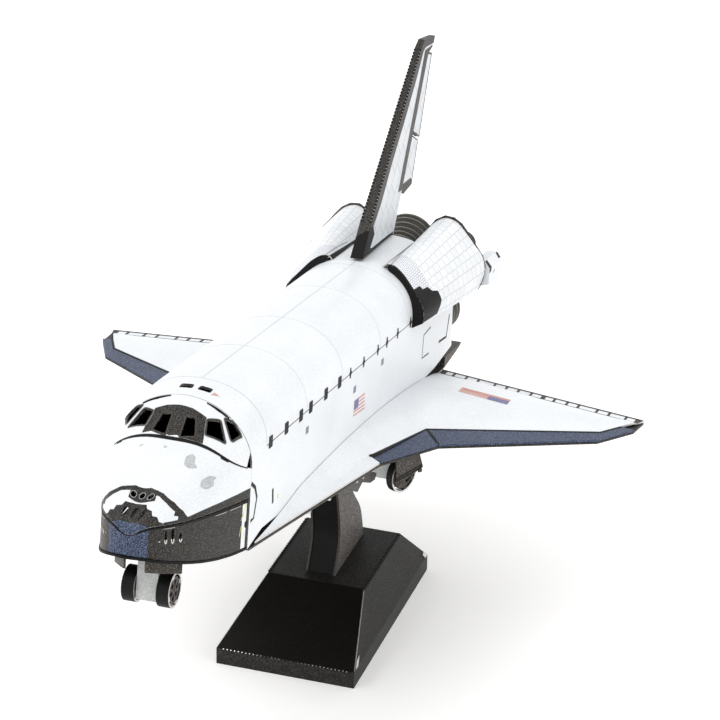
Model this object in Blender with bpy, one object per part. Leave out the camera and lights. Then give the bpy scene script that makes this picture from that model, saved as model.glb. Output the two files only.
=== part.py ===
"""Folded sheet-metal display model of a winged space orbiter, nose up on its folded black stand.

Lengths are in millimetres in the orbiter's own frame (x to port, y aft, z up) and are
turned to metres when a mesh is made. The orbiter hangs under an empty that pitches it
nose-up on the stand; the stand is drawn straight in world axes, floor at z = 0.
"""
import math

import bmesh
import bpy
from mathutils import Matrix, Vector
from mathutils.geometry import tessellate_polygon

MM = 0.001

# Sheet and fits
SHEET = 0.25             # thickness of the printed sheet
GAP = 0.06               # clearance kept between pieces that touch
FINE = 0.01              # step for measuring a surface's slope

# How the orbiter sits on the stand
PITCH = math.radians(9.8)
SHIFT_Y, SHIFT_Z = 83.3, -7.0

# Fuselage
HALF_WIDTH = 8.0
NOSE_TIP_Y, NOSE_END_Y = 7.0, 22.8
NOSE_LENGTH = NOSE_END_Y - NOSE_TIP_Y
NOSE_POWER = 2.44        # plan view: y grows with this power of the half width
FLOOR_LIP = 0.25         # how far the nose floor stands out past the band
DOOR_START_Y, DOOR_END_Y = 27.5, 88.0
DECK_HALF = 3.45         # half width of the roof strip that runs on to the fin
DECK_END_Y = 99.0
STERN_Y = 103.3
ARCH_V = 10.9            # length given to half of the roof arch
POD_SILL = 1.5           # how far the side panels' top edge at the stern lies below the arch
SIDE_BOTTOM_Z = 22.15
BELLY_TOP_Z = 22.0
PORT_DROOP, STARBOARD_DROOP = 0.035, 0.0

# Wing plan, port side, leading edge first
GLOVE_START = (7.95, 23.6)
GLOVE_END = (12.15, 59.25)
KINK = (16.4, 69.8)
TIP_FRONT = (33.3, 83.6)
TIP_CORNER = (34.7, 86.6)
TIP_OUT = (36.45, 90.4)
TIP_REAR = (36.8, 95.0)
ROOT_REAR_Y = 100.4
STRIP_START = (10.75, 59.35)
STRIP_KINK = (13.7, 73.4)
STRIP_TIP = (33.0, 86.2)
STRIP_END = (34.8, 90.1)
ROOT_X = HALF_WIDTH + GAP
ROOT_START_Y = 25.2
GLOVE_INSET = 0.05       # the skin's edge along the glove lies this far inside the plate's
GLOVE_LIP = 1.8          # width over which the skin comes down to the plate along the glove
FLANGE = 1.8             # width of the flat flange along the trailing edge
STRIP_RISE = 0.9
ROOT_CAMBER, TIP_CAMBER = 2.1, 0.15

# Pods beside the fin: section at the front edge and at the stern, inner edge first
POD_INNER_Y, POD_OUTER_Y = 84.5, 83.8
POD_END_RIM = 0.32       # how far the end plates stand out past the shells, at the top of the arch
POD_FRONT = ((3.9, 39.75), (4.8, 39.7), (5.6, 39.2), (6.3, 38.6), (7.1, 37.7), (7.9, 36.75),
             (8.7, 35.8), (9.4, 34.4), (9.3, 32.9))
POD_REAR = ((3.6, 39.4), (4.4, 41.1), (6.0, 42.15), (7.7, 41.8), (9.1, 40.5), (10.4, 39.0),
            (11.5, 37.7), (12.0, 35.6), (11.3, 33.1))
THRUSTER_SECTION = ((10.1, 33.1), (12.6, 33.9), (12.6, 36.1), (11.9, 37.0), (10.6, 37.0), (10.1, 36.3))
THRUSTER_END_Y = 109.7

# Fin
FIN_ROOT_Y, FIN_ROOT_Z = 83.7, 40.1
FIN_TIP_Y, FIN_TIP_Z = 105.95, 64.8
FIN_CHAMFER = (63.9, 106.75)    # height where the front line ends, and where the top begins
FIN_END_Y, FIN_END_Z = 111.8, 64.6
FIN_FOOT_Y, FIN_FOOT_Z = 98.9, 40.1
FIN_ROOT_HALF, FIN_TIP_HALF = 0.8, 0.45
FIN_BACK_HALF, RUDDER_HALF, RUDDER_BACK_HALF = 0.35, 0.45, 0.3
FIN_TAPER = 12.0         # distance from the front line over which the fin thins down
RUDDER_LOW = ((101.4, 45.5), (106.1, 45.5))
RUDDER_SPLIT = ((104.6, 52.7), (108.1, 51.4))
RUDDER_HIGH = ((109.1, 62.9), (111.0, 62.4))
RUDDER_GAP = 0.35        # between the two leaves

# Gear
WHEEL_SEGMENTS = 20
NOSE_WHEEL = (2.0, 14.3, 19.4)
NOSE_RADIUS, NOSE_WIDTH = 1.75, 1.45
NOSE_SHIFT = 0.25        # the nose gear stands this much to port, as in the model in hand
NOSE_DOOR_FRONT, NOSE_DOOR_BACK = (1.2, 9.4), (3.8, 13.5)
NOSE_DOOR_DEPTH = 1.3
MAIN_WHEEL = (13.15, 65.4, 19.1)
MAIN_RADIUS, MAIN_WIDTH = 2.15, 0.95
MAIN_TURN = math.radians(22)    # main wheels and outer doors splay outwards towards the back
MAIN_BOX = (9.9, 12.05)
OUTER_DOOR_DEPTHS = (1.9, 3.4)
INNER_DOOR_X = 10.7
INNER_DOOR = ((54.3, 19.65), (56.2, 20.3), (59.6, 19.2), (61.5, 19.05), (62.1, 19.7), (60.4, 20.4),
              (57.6, 21.0))

# Stand, world axes
BASE_HALF, BASE_FRONT, BASE_BACK = 9.15, 18.2, 13.7
TOP_HALF, TOP_FRONT, TOP_BACK = 6.45, 6.1, 9.4
SKIRT, BASE_HEIGHT = 2.27, 7.3
STAND_SHEET = 0.3
ARM_HALF = 2.0


def world_y(y, z):
    """Fore-and-aft place in world axes of a point of the pitched orbiter, before centring."""
    return (y - SHIFT_Y) * math.cos(PITCH) + (z - SHIFT_Z) * math.sin(PITCH)


# Shift that puts the origin under the middle of the whole model, nose floor to fin tip
CENTRE_Y = -(world_y(NOSE_TIP_Y - FLOOR_LIP, 25.2) + world_y(FIN_END_Y, FIN_END_Z)) / 2

COLOURS = {
    "white_sheet": ((0.80, 0.82, 0.84, 1), 0.45, 0.35),
    "charcoal_sheet": ((0.035, 0.032, 0.030, 1), 0.5, 0.4),
    "blue_grey_sheet": ((0.06, 0.075, 0.13, 1), 0.45, 0.4),
    "black_sheet": ((0.010, 0.010, 0.011, 1), 0.5, 0.3),
    "grey_sheet": ((0.33, 0.35, 0.34, 1), 0.5, 0.4),
    "brown_grey_sheet": ((0.10, 0.085, 0.078, 1), 0.5, 0.4),
}


def clear_scene():
    for item in list(bpy.data.objects):
        bpy.data.objects.remove(item, do_unlink=True)


def make_material(name):
    colour, roughness, metallic = COLOURS[name]
    material = bpy.data.materials.new(name)
    material.use_nodes = True
    shader = material.node_tree.nodes["Principled BSDF"]
    shader.inputs["Base Color"].default_value = colour
    shader.inputs["Roughness"].default_value = roughness
    shader.inputs["Metallic"].default_value = metallic
    material.diffuse_color = colour
    return material


def make_object(name, mesh_data, material, parent=None, smooth=True):
    """Close a bmesh into an object with outward faces and its own copy of a material."""
    bmesh.ops.recalc_face_normals(mesh_data, faces=mesh_data.faces)
    mesh = bpy.data.meshes.new(name)
    mesh_data.to_mesh(mesh)
    mesh_data.free()
    if smooth:
        mesh.shade_smooth()
        mesh.set_sharp_from_angle(angle=math.radians(35))
    thing = bpy.data.objects.new(name, mesh)
    bpy.context.scene.collection.objects.link(thing)
    own = make_material(material)
    own.name = name + "_" + material
    mesh.materials.append(own)
    thing.parent = parent
    return thing


def lerp(a, b, t):
    return a + (b - a) * t


def clamp01(t):
    return max(0.0, min(1.0, t))


def ramp(stations, value):
    """Read a value between stations given as (place, value) pairs."""
    if value <= stations[0][0]:
        return stations[0][1]
    for (a, va), (b, vb) in zip(stations, stations[1:]):
        if value <= b:
            return lerp(va, vb, (value - a) / (b - a))
    return stations[-1][1]


# Flat pattern to bent sheet

def flat_pattern(outline, holes, cuts_u, cuts_v, folds):
    """A flat mesh of the pattern, split along the lines where it bends."""
    flat = bmesh.new()
    if holes:
        loops = [[Vector((u, v, 0)) for u, v in loop] for loop in [outline] + list(holes)]
        points = [flat.verts.new(p) for loop in loops for p in loop]
        for a, b, c in tessellate_polygon(loops):
            flat.faces.new((points[a], points[b], points[c]))
    else:
        flat.faces.new([flat.verts.new((u, v, 0)) for u, v in outline])
    cuts = [(Vector((cut, 0, 0)), Vector((1, 0, 0))) for cut in cuts_u]
    cuts += [(Vector((0, cut, 0)), Vector((0, 1, 0))) for cut in cuts_v]
    for (start_u, start_v), (end_u, end_v) in folds:
        across = Vector((start_v - end_v, end_u - start_u, 0)).normalized()
        cuts.append((Vector((start_u, start_v, 0)), across))
    for place, across in cuts:
        geometry = flat.verts[:] + flat.edges[:] + flat.faces[:]
        bmesh.ops.bisect_plane(flat, geom=geometry, plane_co=place, plane_no=across, dist=1e-6)
    return flat


def surface_normal(surface, u, v, side):
    along_u = surface(u + FINE, v) - surface(u - FINE, v)
    along_v = surface(u, v + FINE) - surface(u, v - FINE)
    return along_u.cross(along_v).normalized() * side


def bent_sheet(name, outline, surface, material, parent, side=1, holes=(), cuts_u=(), cuts_v=(),
               folds=(), lift=0.0, normal=None):
    """Bend a flat pattern onto surface(u, v) and give it the sheet's thickness inwards."""
    flat = flat_pattern(outline, holes, cuts_u, cuts_v, folds)
    solid = bmesh.new()
    outer, inner = {}, {}
    for vert in flat.verts:
        u, v = vert.co.x, vert.co.y
        direction = normal if normal else surface_normal(surface, u, v, side)
        point = surface(u, v) + direction * lift
        outer[vert] = solid.verts.new(point * MM)
        inner[vert] = solid.verts.new((point - direction * SHEET) * MM)
    for face in flat.faces:
        solid.faces.new([outer[v] for v in face.verts])
        solid.faces.new([inner[v] for v in reversed(face.verts)])
    for edge in flat.edges:
        if edge.is_boundary:
            a, b = edge.verts
            solid.faces.new((outer[a], outer[b], inner[b], inner[a]))
    flat.free()
    return make_object(name, solid, material, parent)


def even_steps(first, last, count):
    return [lerp(first, last, i / count) for i in range(1, count)]


def turn_about(solid, pivot, angle):
    """Turn a mesh in the making about an upright line through the pivot."""
    bmesh.ops.rotate(solid, verts=solid.verts, cent=Vector(pivot) * MM,
                     matrix=Matrix.Rotation(angle, 3, "Z"))


def prism(name, outline, axis, low, high, material, parent, pivot=(0, 0, 0), turn=0.0):
    """A plate cut to an outline and as thick as low to high along one axis."""
    solid = bmesh.new()
    def place(a, b, c):
        if axis == "x":
            return Vector((c, a, b)) * MM
        if axis == "y":
            return Vector((a, c, b)) * MM
        return Vector((a, b, c)) * MM
    bottom = [solid.verts.new(place(a, b, low)) for a, b in outline]
    top = [solid.verts.new(place(a, b, high)) for a, b in outline]
    solid.faces.new(list(reversed(bottom)))
    solid.faces.new(top)
    for i in range(len(outline)):
        j = (i + 1) % len(outline)
        solid.faces.new((bottom[i], bottom[j], top[j], top[i]))
    turn_about(solid, pivot, turn)
    return make_object(name, solid, material, parent, smooth=False)


# Fuselage, canopy and nose

def arch_size(y):
    """Base height, rise and roundness of the roof arch at a station."""
    base = ramp(((NOSE_END_Y, 31.6), (DOOR_START_Y, 32.8), (50, 33.0), (STERN_Y, 33.1)), y)
    top = ramp(((NOSE_END_Y, 38.6), (DOOR_START_Y, 39.3), (STERN_Y, 39.95)), y)
    power = ramp(((NOSE_END_Y, 1.95), (DOOR_START_Y, 2.15), (STERN_Y, 2.2)), y)
    return base, top - base, power


def fuselage_surface(y, v):
    base, rise, power = arch_size(y)
    side = 1 if v >= 0 else -1
    if abs(v) >= ARCH_V:
        return Vector((side * HALF_WIDTH, y, base - (abs(v) - ARCH_V)))
    angle = abs(v) / ARCH_V * math.pi / 2
    x = HALF_WIDTH * math.sin(angle) ** (2 / power)
    return Vector((side * x, y, base + rise * math.cos(angle) ** (2 / power)))


def side_v(y, z):
    """Pattern position of a height on the side panel."""
    return ARCH_V + arch_size(y)[0] - z


def build_fuselage_skin(parent):
    deck_v = ARCH_V * 2 / math.pi * math.asin((DECK_HALF / HALF_WIDTH) ** 1.1)
    sill = ARCH_V + POD_SILL
    bottom = ((104.4, 24.6), (96.3, 23.5), (60, SIDE_BOTTOM_Z), (NOSE_END_Y + GAP, SIDE_BOTTOM_Z))
    half = [(STERN_Y, sill)] + [(y, side_v(y, z)) for y, z in bottom]
    outline = [(DECK_END_Y, deck_v), (DOOR_END_Y, deck_v), (DOOR_END_Y, sill)] + half
    outline += [(u, -v) for u, v in reversed(outline)]
    windows = []
    for side in (-1, 1):
        centre = side * 1.25
        windows.append([(24.9, centre - 0.8), (26.3, centre - 0.65), (26.3, centre + 0.65),
                        (24.9, centre + 0.8)])
    arch_cuts = [ARCH_V * i / 8 for i in range(-8, 9)]
    return bent_sheet("fuselage_skin", outline, fuselage_surface, "white_sheet", parent, side=-1,
                      holes=windows, cuts_u=(DOOR_START_Y, 41.4, 54.7, 69.9, 81.8),
                      cuts_v=arch_cuts)


def nose_plan(u):
    return HALF_WIDTH * u, NOSE_TIP_Y + NOSE_LENGTH * abs(u) ** NOSE_POWER


def chine_height(y):
    share = clamp01(1 - (y - NOSE_TIP_Y) / NOSE_LENGTH)
    return 22.5 + 2.75 * share ** 1.9


def seam_height(u):
    return 28.1 + 0.5 * (1 - u * u) - 1.1 * math.exp(-(u / 0.18) ** 2)


def canopy_foot(u):
    """The seam between the nose shell and the canopy."""
    return Vector((HALF_WIDTH * u, 18.9 + 3.9 * abs(u) ** 8, 31.5 + 3.4 * (1 - abs(u) ** 3)))


def nose_shell_surface(u, v):
    x, y = nose_plan(u)
    low = Vector((x, y, seam_height(u) + GAP))
    high = canopy_foot(u)
    run = clamp01(v) ** 1.6
    return Vector((x, lerp(low.y, high.y, run), lerp(low.z, high.z, run ** 0.58)))


def nose_band_surface(u, v):
    x, y = nose_plan(u)
    return Vector((x, y, lerp(chine_height(y), seam_height(u) - GAP, v)))


def canopy_surface(u, v):
    u = max(-0.999, min(0.999, u))
    low = canopy_foot(u)
    base, rise, power = arch_size(NOSE_END_Y)
    high = Vector((HALF_WIDTH * u, NOSE_END_Y - GAP,
                   base + rise * (1 - abs(u) ** power) ** (1 / power)))
    return low.lerp(high, v)


def build_nose(parent):
    spread = [math.sin(math.pi / 2 * a) for a in even_steps(-1, 1, 18)]
    band = [(-1, 0), (1, 0), (1, 1), (-1, 1)]
    bent_sheet("nose_band", band, nose_band_surface, "charcoal_sheet", parent,
               cuts_u=spread, cuts_v=(0.5,))
    shell = [(-1, 0.0), (1, 0.0), (1, 1), (-1, 1)]
    bent_sheet("nose_shell", shell, nose_shell_surface, "white_sheet", parent,
               cuts_u=spread, cuts_v=even_steps(0, 1, 8))
    rim = [(x, y - FLOOR_LIP) for x, y in (nose_plan(i / 12) for i in range(-12, 13))]
    floor = rim + [(8.0, NOSE_END_Y), (-8.0, NOSE_END_Y)]
    bent_sheet("nose_floor", floor, lambda x, y: Vector((x, y, chine_height(y) - GAP)),
               "black_sheet", parent, cuts_v=even_steps(NOSE_TIP_Y, NOSE_END_Y, 7))


def build_canopy(parent):
    edge = 0.965
    outline = [(-edge, 0.02), (edge, 0.02), (edge, 1), (-edge, 1)]
    port_windows = [
        [(0.11, 0.09), (0.30, 0.17), (0.23, 0.54), (0.11, 0.53)],
        [(0.44, 0.27), (0.69, 0.35), (0.55, 0.78), (0.40, 0.64)],
        [(0.75, 0.50), (0.84, 0.86), (0.71, 0.92), (0.60, 0.85)],
    ]
    windows = port_windows + [[(-u, v) for u, v in reversed(w)] for w in port_windows]
    bent_sheet("canopy", outline, canopy_surface, "white_sheet", parent, holes=windows,
               cuts_u=[math.sin(math.pi / 2 * a) for a in even_steps(-1, 1, 16)],
               lift=-0.02)


# Wing and belly

def plate_height(x):
    """Top of the wing plate, which sags a little to port as the model in hand does."""
    droop = PORT_DROOP if x > 0 else STARBOARD_DROOP
    return BELLY_TOP_Z - droop * max(0.0, abs(x) - HALF_WIDTH)


def leading_line(x):
    stations = ((ROOT_X, ROOT_START_Y), (GLOVE_END[0] - 1.6, 58.8), STRIP_KINK, STRIP_TIP, STRIP_END)
    return ramp(stations, x)


def flange_line(x):
    return ramp(((ROOT_X, ROOT_REAR_Y), TIP_REAR), x) - FLANGE


def glove_line(y):
    """Edge of the skin along the glove."""
    return ramp(((GLOVE_START[1], GLOVE_START[0]), (GLOVE_END[1], GLOVE_END[0])), y) - GLOVE_INSET


def skin_height(x, y):
    """Height of the skin's face above the plate: a bulge, flat behind, brought down along the glove."""
    front, back = leading_line(x), flange_line(x)
    t = clamp01((y - front) / max(1e-6, back - front))
    out = clamp01((x - ROOT_X) / (TIP_REAR[0] - ROOT_X))
    camber = lerp(ROOT_CAMBER, TIP_CAMBER, out ** 0.8)
    edge = lerp(STRIP_RISE, 0.55, out)
    base = lerp(edge, SHEET + GAP, t ** 2)
    height = base + camber * math.sin(math.pi * t ** 1.2) ** 0.7
    lip = clamp01((glove_line(y) - x) / GLOVE_LIP) if y < STRIP_START[1] else 1
    return lerp(SHEET + GAP, height, lip)


def build_wings(parent):
    skin_outline = [(ROOT_X, ROOT_START_Y), (glove_line(59.0), 59.0), STRIP_START, STRIP_KINK,
                    STRIP_TIP, STRIP_END, TIP_REAR, (ROOT_X, ROOT_REAR_Y)]
    lip_start = lerp(GLOVE_START[1], GLOVE_END[1], (ROOT_X + GLOVE_LIP + GLOVE_INSET - GLOVE_START[0])
                     / (GLOVE_END[0] - GLOVE_START[0]))
    folds = (((ROOT_X, lip_start), (glove_line(GLOVE_END[1]) - GLOVE_LIP, GLOVE_END[1])),
             ((ROOT_X, flange_line(ROOT_X)), (TIP_REAR[0], flange_line(TIP_REAR[0]))))
    up = Vector((0, 0, 1))
    for side, name in ((1, "port"), (-1, "starboard")):
        def skin(u, v, side=side):
            return Vector((side * u, v, plate_height(side * u) + skin_height(u, v)))
        bent_sheet("wing_skin_" + name, skin_outline, skin, "white_sheet", parent, normal=up,
                   cuts_u=(9, 10.4, 12.0, 13.7, 18, 23, 28, 33), folds=folds,
                   cuts_v=even_steps(ROOT_START_Y, ROOT_REAR_Y, 12))

        def strip(u, v, side=side):
            return Vector((side * u, v, plate_height(side * u) + SHEET + GAP + strip_rise(u, v)))
        near = [(x, y - 2 * GAP) for x, y in (STRIP_START, STRIP_KINK, STRIP_TIP, STRIP_END)]
        glove = [(GLOVE_END[0], GLOVE_END[1] + 2 * GAP), (KINK[0] - GAP, KINK[1]),
                 (STRIP_KINK[0] + GAP, near[1][1] - 3 * GAP),
                 (STRIP_START[0] + 2 * GAP, STRIP_START[1] + 2 * GAP)]
        outer = [(KINK[0] + GAP, KINK[1]), TIP_FRONT, TIP_CORNER, TIP_OUT, near[3], near[2],
                 (near[1][0] + 3 * GAP, near[1][1])]
        bent_sheet("glove_edge_" + name, glove, strip, "blue_grey_sheet", parent, normal=up)
        bent_sheet("wing_edge_" + name, outer, strip, "blue_grey_sheet", parent, normal=up)


def strip_rise(x, y):
    """Height of the edge strip above the plate, from the leading edge inwards."""
    outer = ramp((GLOVE_END, KINK, TIP_FRONT, TIP_CORNER, TIP_OUT), x)
    inner = ramp((STRIP_START, STRIP_KINK, STRIP_TIP, STRIP_END), x)
    if x < STRIP_START[0]:
        return STRIP_RISE - SHEET
    share = clamp01((y - outer) / max(0.5, inner - outer))
    return share * (lerp(STRIP_RISE, 0.55, clamp01((x - 8) / 29)) - SHEET - GAP)


def build_belly(parent):
    half = [GLOVE_START, GLOVE_END, KINK, TIP_FRONT, TIP_CORNER, TIP_OUT, TIP_REAR,
            (HALF_WIDTH, ROOT_REAR_Y)]
    stern = [(7.6, 103.0)]
    outline = half + stern + [(-x, y) for x, y in reversed(half + stern)]
    bent_sheet("belly_wing_plate", outline, lambda x, y: Vector((x, y, plate_height(x))),
               "charcoal_sheet", parent, normal=Vector((0, 0, 1)), cuts_u=(-HALF_WIDTH, HALF_WIDTH))


# Stern

def build_stern(parent):
    base, rise, power = arch_size(DECK_END_Y)
    inside = HALF_WIDTH - SHEET - GAP
    ring = []
    for i in range(0, 13):
        angle = math.pi * i / 12
        x = inside * math.copysign(abs(math.cos(angle)) ** (2 / power), math.cos(angle))
        ring.append((x, base + (rise - SHEET - 2 * GAP) * math.sin(angle) ** (2 / power)))
    outline = ring + [(-inside, 23.0), (inside, 23.0)]
    prism("aft_bulkhead", outline, "y", 100.0, 100.3, "black_sheet", parent)
    flap = [(103.2, 21.7), (110.6, 22.9), (111.2, 23.3), (103.2, 23.2)]
    prism("body_flap", flap, "x", -7.6, 7.6, "charcoal_sheet", parent)


def turned_cup(name, profile, place, tilt, material, parent, segments=20):
    """Spin an (radius, distance) profile round a nozzle's axis, which points aft and up."""
    solid = bmesh.new()
    rings = []
    for radius, distance in profile:
        rings.append([solid.verts.new((radius * math.cos(2 * math.pi * k / segments),
                                       distance,
                                       radius * math.sin(2 * math.pi * k / segments)))
                      for k in range(segments)])
    closed = rings + [rings[0]]
    for ring, after in zip(closed, closed[1:]):
        for k in range(segments):
            j = (k + 1) % segments
            solid.faces.new((ring[k], ring[j], after[j], after[k]))
    turn = Matrix.Rotation(tilt, 4, "X")
    for vert in solid.verts:
        vert.co = (turn @ vert.co + Vector(place)) * MM
    return make_object(name, solid, material, parent)


def build_engines(parent):
    bell = [(1.1, 0), (2.1, 1.6), (3.0, 4.2), (3.6, 7.8), (3.3, 7.8), (2.7, 4.2), (1.8, 1.6), (0.8, 0)]
    places = (("top", 0, 35.4, 16), ("port", 4.1, 27.3, 10), ("starboard", -4.1, 27.3, 10))
    for name, x, z, angle in places:
        turned_cup("engine_bell_" + name, bell, (x, 101.0, z), math.radians(angle),
                   "brown_grey_sheet", parent)


# Pods

def along(points, t):
    """Smooth curve through (x, z) points, t running from 0 to 1."""
    place = clamp01(t) * (len(points) - 1)
    i = min(int(place), len(points) - 2)
    f = place - i
    before, after = points[max(0, i - 1)], points[min(len(points) - 1, i + 2)]
    a, b = points[i], points[i + 1]
    return [0.5 * (2 * q + (r - p) * f + (2 * p - 5 * q + 4 * r - w) * f ** 2
                   + (3 * q - p - 3 * r + w) * f ** 3)
            for p, q, r, w in zip(before, a, b, after)]


def pod_surface(u, t, side):
    """From the front edge (u = 0) aft, inner top edge (t = 0) over to the lower edge (t = 1)."""
    share = u * (1.35 - 0.35 * u)
    x, z = [lerp(a, b, share) for a, b in zip(along(POD_FRONT, t), along(POD_REAR, t))]
    return Vector((side * x, lerp(lerp(POD_INNER_Y, POD_OUTER_Y, t), STERN_Y, u), z))


def build_pods(parent):
    back = STERN_Y + GAP + SHEET
    for side, name in ((1, "port"), (-1, "starboard")):
        def shell(u, t, side=side):
            return pod_surface(u, t, side)
        outline = [(0, 0), (0, 1), (1, 1), (1, 0)]
        bent_sheet("pod_shell_" + name, outline, shell, "white_sheet", parent, side=-side,
                   cuts_u=even_steps(0, 1, 5), cuts_v=even_steps(0, 1, 14))
        ring = []
        for i in range(13):
            rim = POD_END_RIM * (0.15 + 0.85 * math.sin(math.pi * clamp01(i / 12 / 0.62)))
            ring.append(shell(1, i / 12) + surface_normal(shell, 1, i / 12, -side) * rim)
        plate = [(p.x, p.z) for p in ring] + [(side * 8.3, 33.0), (side * 4.1, 38.9)]
        prism("pod_end_" + name, plate, "y", STERN_Y + GAP, back, "black_sheet", parent)
        box = [(side * x, z) for x, z in THRUSTER_SECTION]
        prism("thruster_pod_" + name, box, "y", back + GAP, THRUSTER_END_Y, "white_sheet", parent)
        cone = [(0.8, 0), (1.7, 4.4), (1.4, 4.4), (0.5, 0)]
        turned_cup("pod_nozzle_" + name, cone, (side * 7.6, back + 2 * GAP, 37.2), 0.2,
                   "brown_grey_sheet", parent, segments=16)


# Fin and rudder

def wedge(name, outline, width_front, width_back, front_line, material, parent):
    """A plate in the y-z plane whose thickness falls from its front line to its back."""
    solid = bmesh.new()
    halves = []
    for side in (1, -1):
        row = []
        for y, z in outline:
            share = clamp01((y - front_line(z)) / FIN_TAPER)
            half = lerp(width_front(z), width_back, share)
            row.append(solid.verts.new(Vector((side * half, y, z)) * MM))
        halves.append(row)
    count = len(outline)
    solid.faces.new(halves[0])
    solid.faces.new(list(reversed(halves[1])))
    for i in range(count):
        j = (i + 1) % count
        solid.faces.new((halves[0][i], halves[1][i], halves[1][j], halves[0][j]))
    return make_object(name, solid, material, parent, smooth=False)


def fin_front(z):
    return lerp(FIN_ROOT_Y, FIN_TIP_Y, (z - FIN_ROOT_Z) / (FIN_TIP_Z - FIN_ROOT_Z))


def fin_half(z):
    return lerp(FIN_ROOT_HALF, FIN_TIP_HALF, clamp01((z - FIN_ROOT_Z) / (FIN_TIP_Z - FIN_ROOT_Z)))


def build_fin(parent):
    fin = [(FIN_ROOT_Y, FIN_ROOT_Z), (fin_front(FIN_CHAMFER[0]), FIN_CHAMFER[0]),
           (FIN_CHAMFER[1], FIN_TIP_Z), (FIN_END_Y, FIN_END_Z),
           (FIN_END_Y - 0.3, FIN_END_Z - 0.9), (RUDDER_HIGH[0][0], RUDDER_HIGH[0][1] + GAP),
           (RUDDER_LOW[0][0], RUDDER_LOW[0][1] - GAP), (FIN_FOOT_Y, FIN_FOOT_Z)]
    wedge("fin", fin, fin_half, FIN_BACK_HALF, fin_front, "white_sheet", parent)
    low, split, high = RUDDER_LOW, RUDDER_SPLIT, RUDDER_HIGH
    gap = 2 * GAP
    lower = [(low[0][0] + gap, low[0][1]), (split[0][0] + gap, split[0][1] - RUDDER_GAP),
             (split[1][0], split[1][1] - RUDDER_GAP), low[1]]
    upper = [(split[0][0] + gap, split[0][1]), (high[0][0] + gap, high[0][1]), high[1], split[1]]
    for name, outline in (("lower", lower), ("upper", upper)):
        wedge("rudder_" + name, outline, lambda z: RUDDER_HALF, RUDDER_BACK_HALF, fin_front,
              "white_sheet", parent)


# Landing gear

def wheel(name, centre, radius, width, parent, turn=0.0):
    """A strip of tread round two discs, drawn as one plain solid."""
    solid = bmesh.new()
    rings = []
    for x in (-width / 2, width / 2):
        ring = []
        for k in range(WHEEL_SEGMENTS):
            angle = 2 * math.pi * k / WHEEL_SEGMENTS
            rim = Vector((x, radius * math.cos(angle), radius * math.sin(angle)))
            ring.append(solid.verts.new((Vector(centre) + rim) * MM))
        rings.append(ring)
    for k in range(WHEEL_SEGMENTS):
        j = (k + 1) % WHEEL_SEGMENTS
        solid.faces.new((rings[0][k], rings[0][j], rings[1][j], rings[1][k]))
    solid.faces.new(rings[0])
    solid.faces.new(list(reversed(rings[1])))
    turn_about(solid, centre, turn)
    return make_object(name, solid, "black_sheet", parent)


def build_nose_gear(parent):
    x, y, z = NOSE_WHEEL
    inner = x - NOSE_WIDTH / 2 - GAP
    roof = chine_height(y + 1.8) - SHEET - 3 * GAP
    box = [(y - 1.4, z - 1.2), (y + 1.4, z - 1.2), (y + 1.6, roof), (y - 1.2, roof)]
    prism("nose_gear_box", box, "x", NOSE_SHIFT - inner, NOSE_SHIFT + inner, "grey_sheet", parent)
    for side, name in ((1, "port"), (-1, "starboard")):
        wheel("nose_wheel_" + name, (side * x + NOSE_SHIFT, y, z), NOSE_RADIUS, NOSE_WIDTH, parent)

        def door(share, depth, side=side):
            x = lerp(NOSE_DOOR_FRONT[0], NOSE_DOOR_BACK[0], share)
            y = lerp(NOSE_DOOR_FRONT[1], NOSE_DOOR_BACK[1], share)
            return Vector((side * x, y, chine_height(y) - SHEET - 3 * GAP - depth))
        outline = [(0, 0), (1, 0), (1, NOSE_DOOR_DEPTH), (0, NOSE_DOOR_DEPTH)]
        bent_sheet("nose_door_" + name, outline, door, "brown_grey_sheet", parent,
                   cuts_u=(0.33, 0.67))


def build_main_gear(parent):
    x, y, z = MAIN_WHEEL
    for side, name in ((1, "port"), (-1, "starboard")):
        def between(low, high):
            return sorted((side * low, side * high))

        def under_plate(x):
            return plate_height(side * x) - SHEET - 2 * GAP
        hub = (side * x, y, z)
        wheel("main_wheel_" + name, hub, MAIN_RADIUS, MAIN_WIDTH, parent, turn=-side * MAIN_TURN)
        roof = under_plate(MAIN_BOX[1])
        box = [(y - 1.1, z - 0.7), (y + 1.1, z - 0.7), (y + 1.1, roof), (y - 1.1, roof)]
        prism("main_gear_box_" + name, box, "x", *between(*MAIN_BOX), "grey_sheet", parent)
        near = x + MAIN_WIDTH / 2 + 2 * GAP
        top = under_plate(15)
        door = [(y - 2.2, top), (y - 1.7, top - OUTER_DOOR_DEPTHS[1]),
                (y + 3.15, top - OUTER_DOOR_DEPTHS[0]), (y + 2.25, top)]
        prism("main_door_outer_" + name, door, "x", *between(near, near + SHEET), "brown_grey_sheet",
              parent, pivot=hub, turn=-side * MAIN_TURN)
        top = under_plate(INNER_DOOR_X + SHEET)
        door = [(INNER_DOOR[-1][0], top), (INNER_DOOR[0][0] - 4.7, top)] + list(INNER_DOOR)
        prism("main_door_inner_" + name, door, "x", *between(INNER_DOOR_X, INNER_DOOR_X + SHEET),
              "brown_grey_sheet", parent)


# Stand

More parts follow.
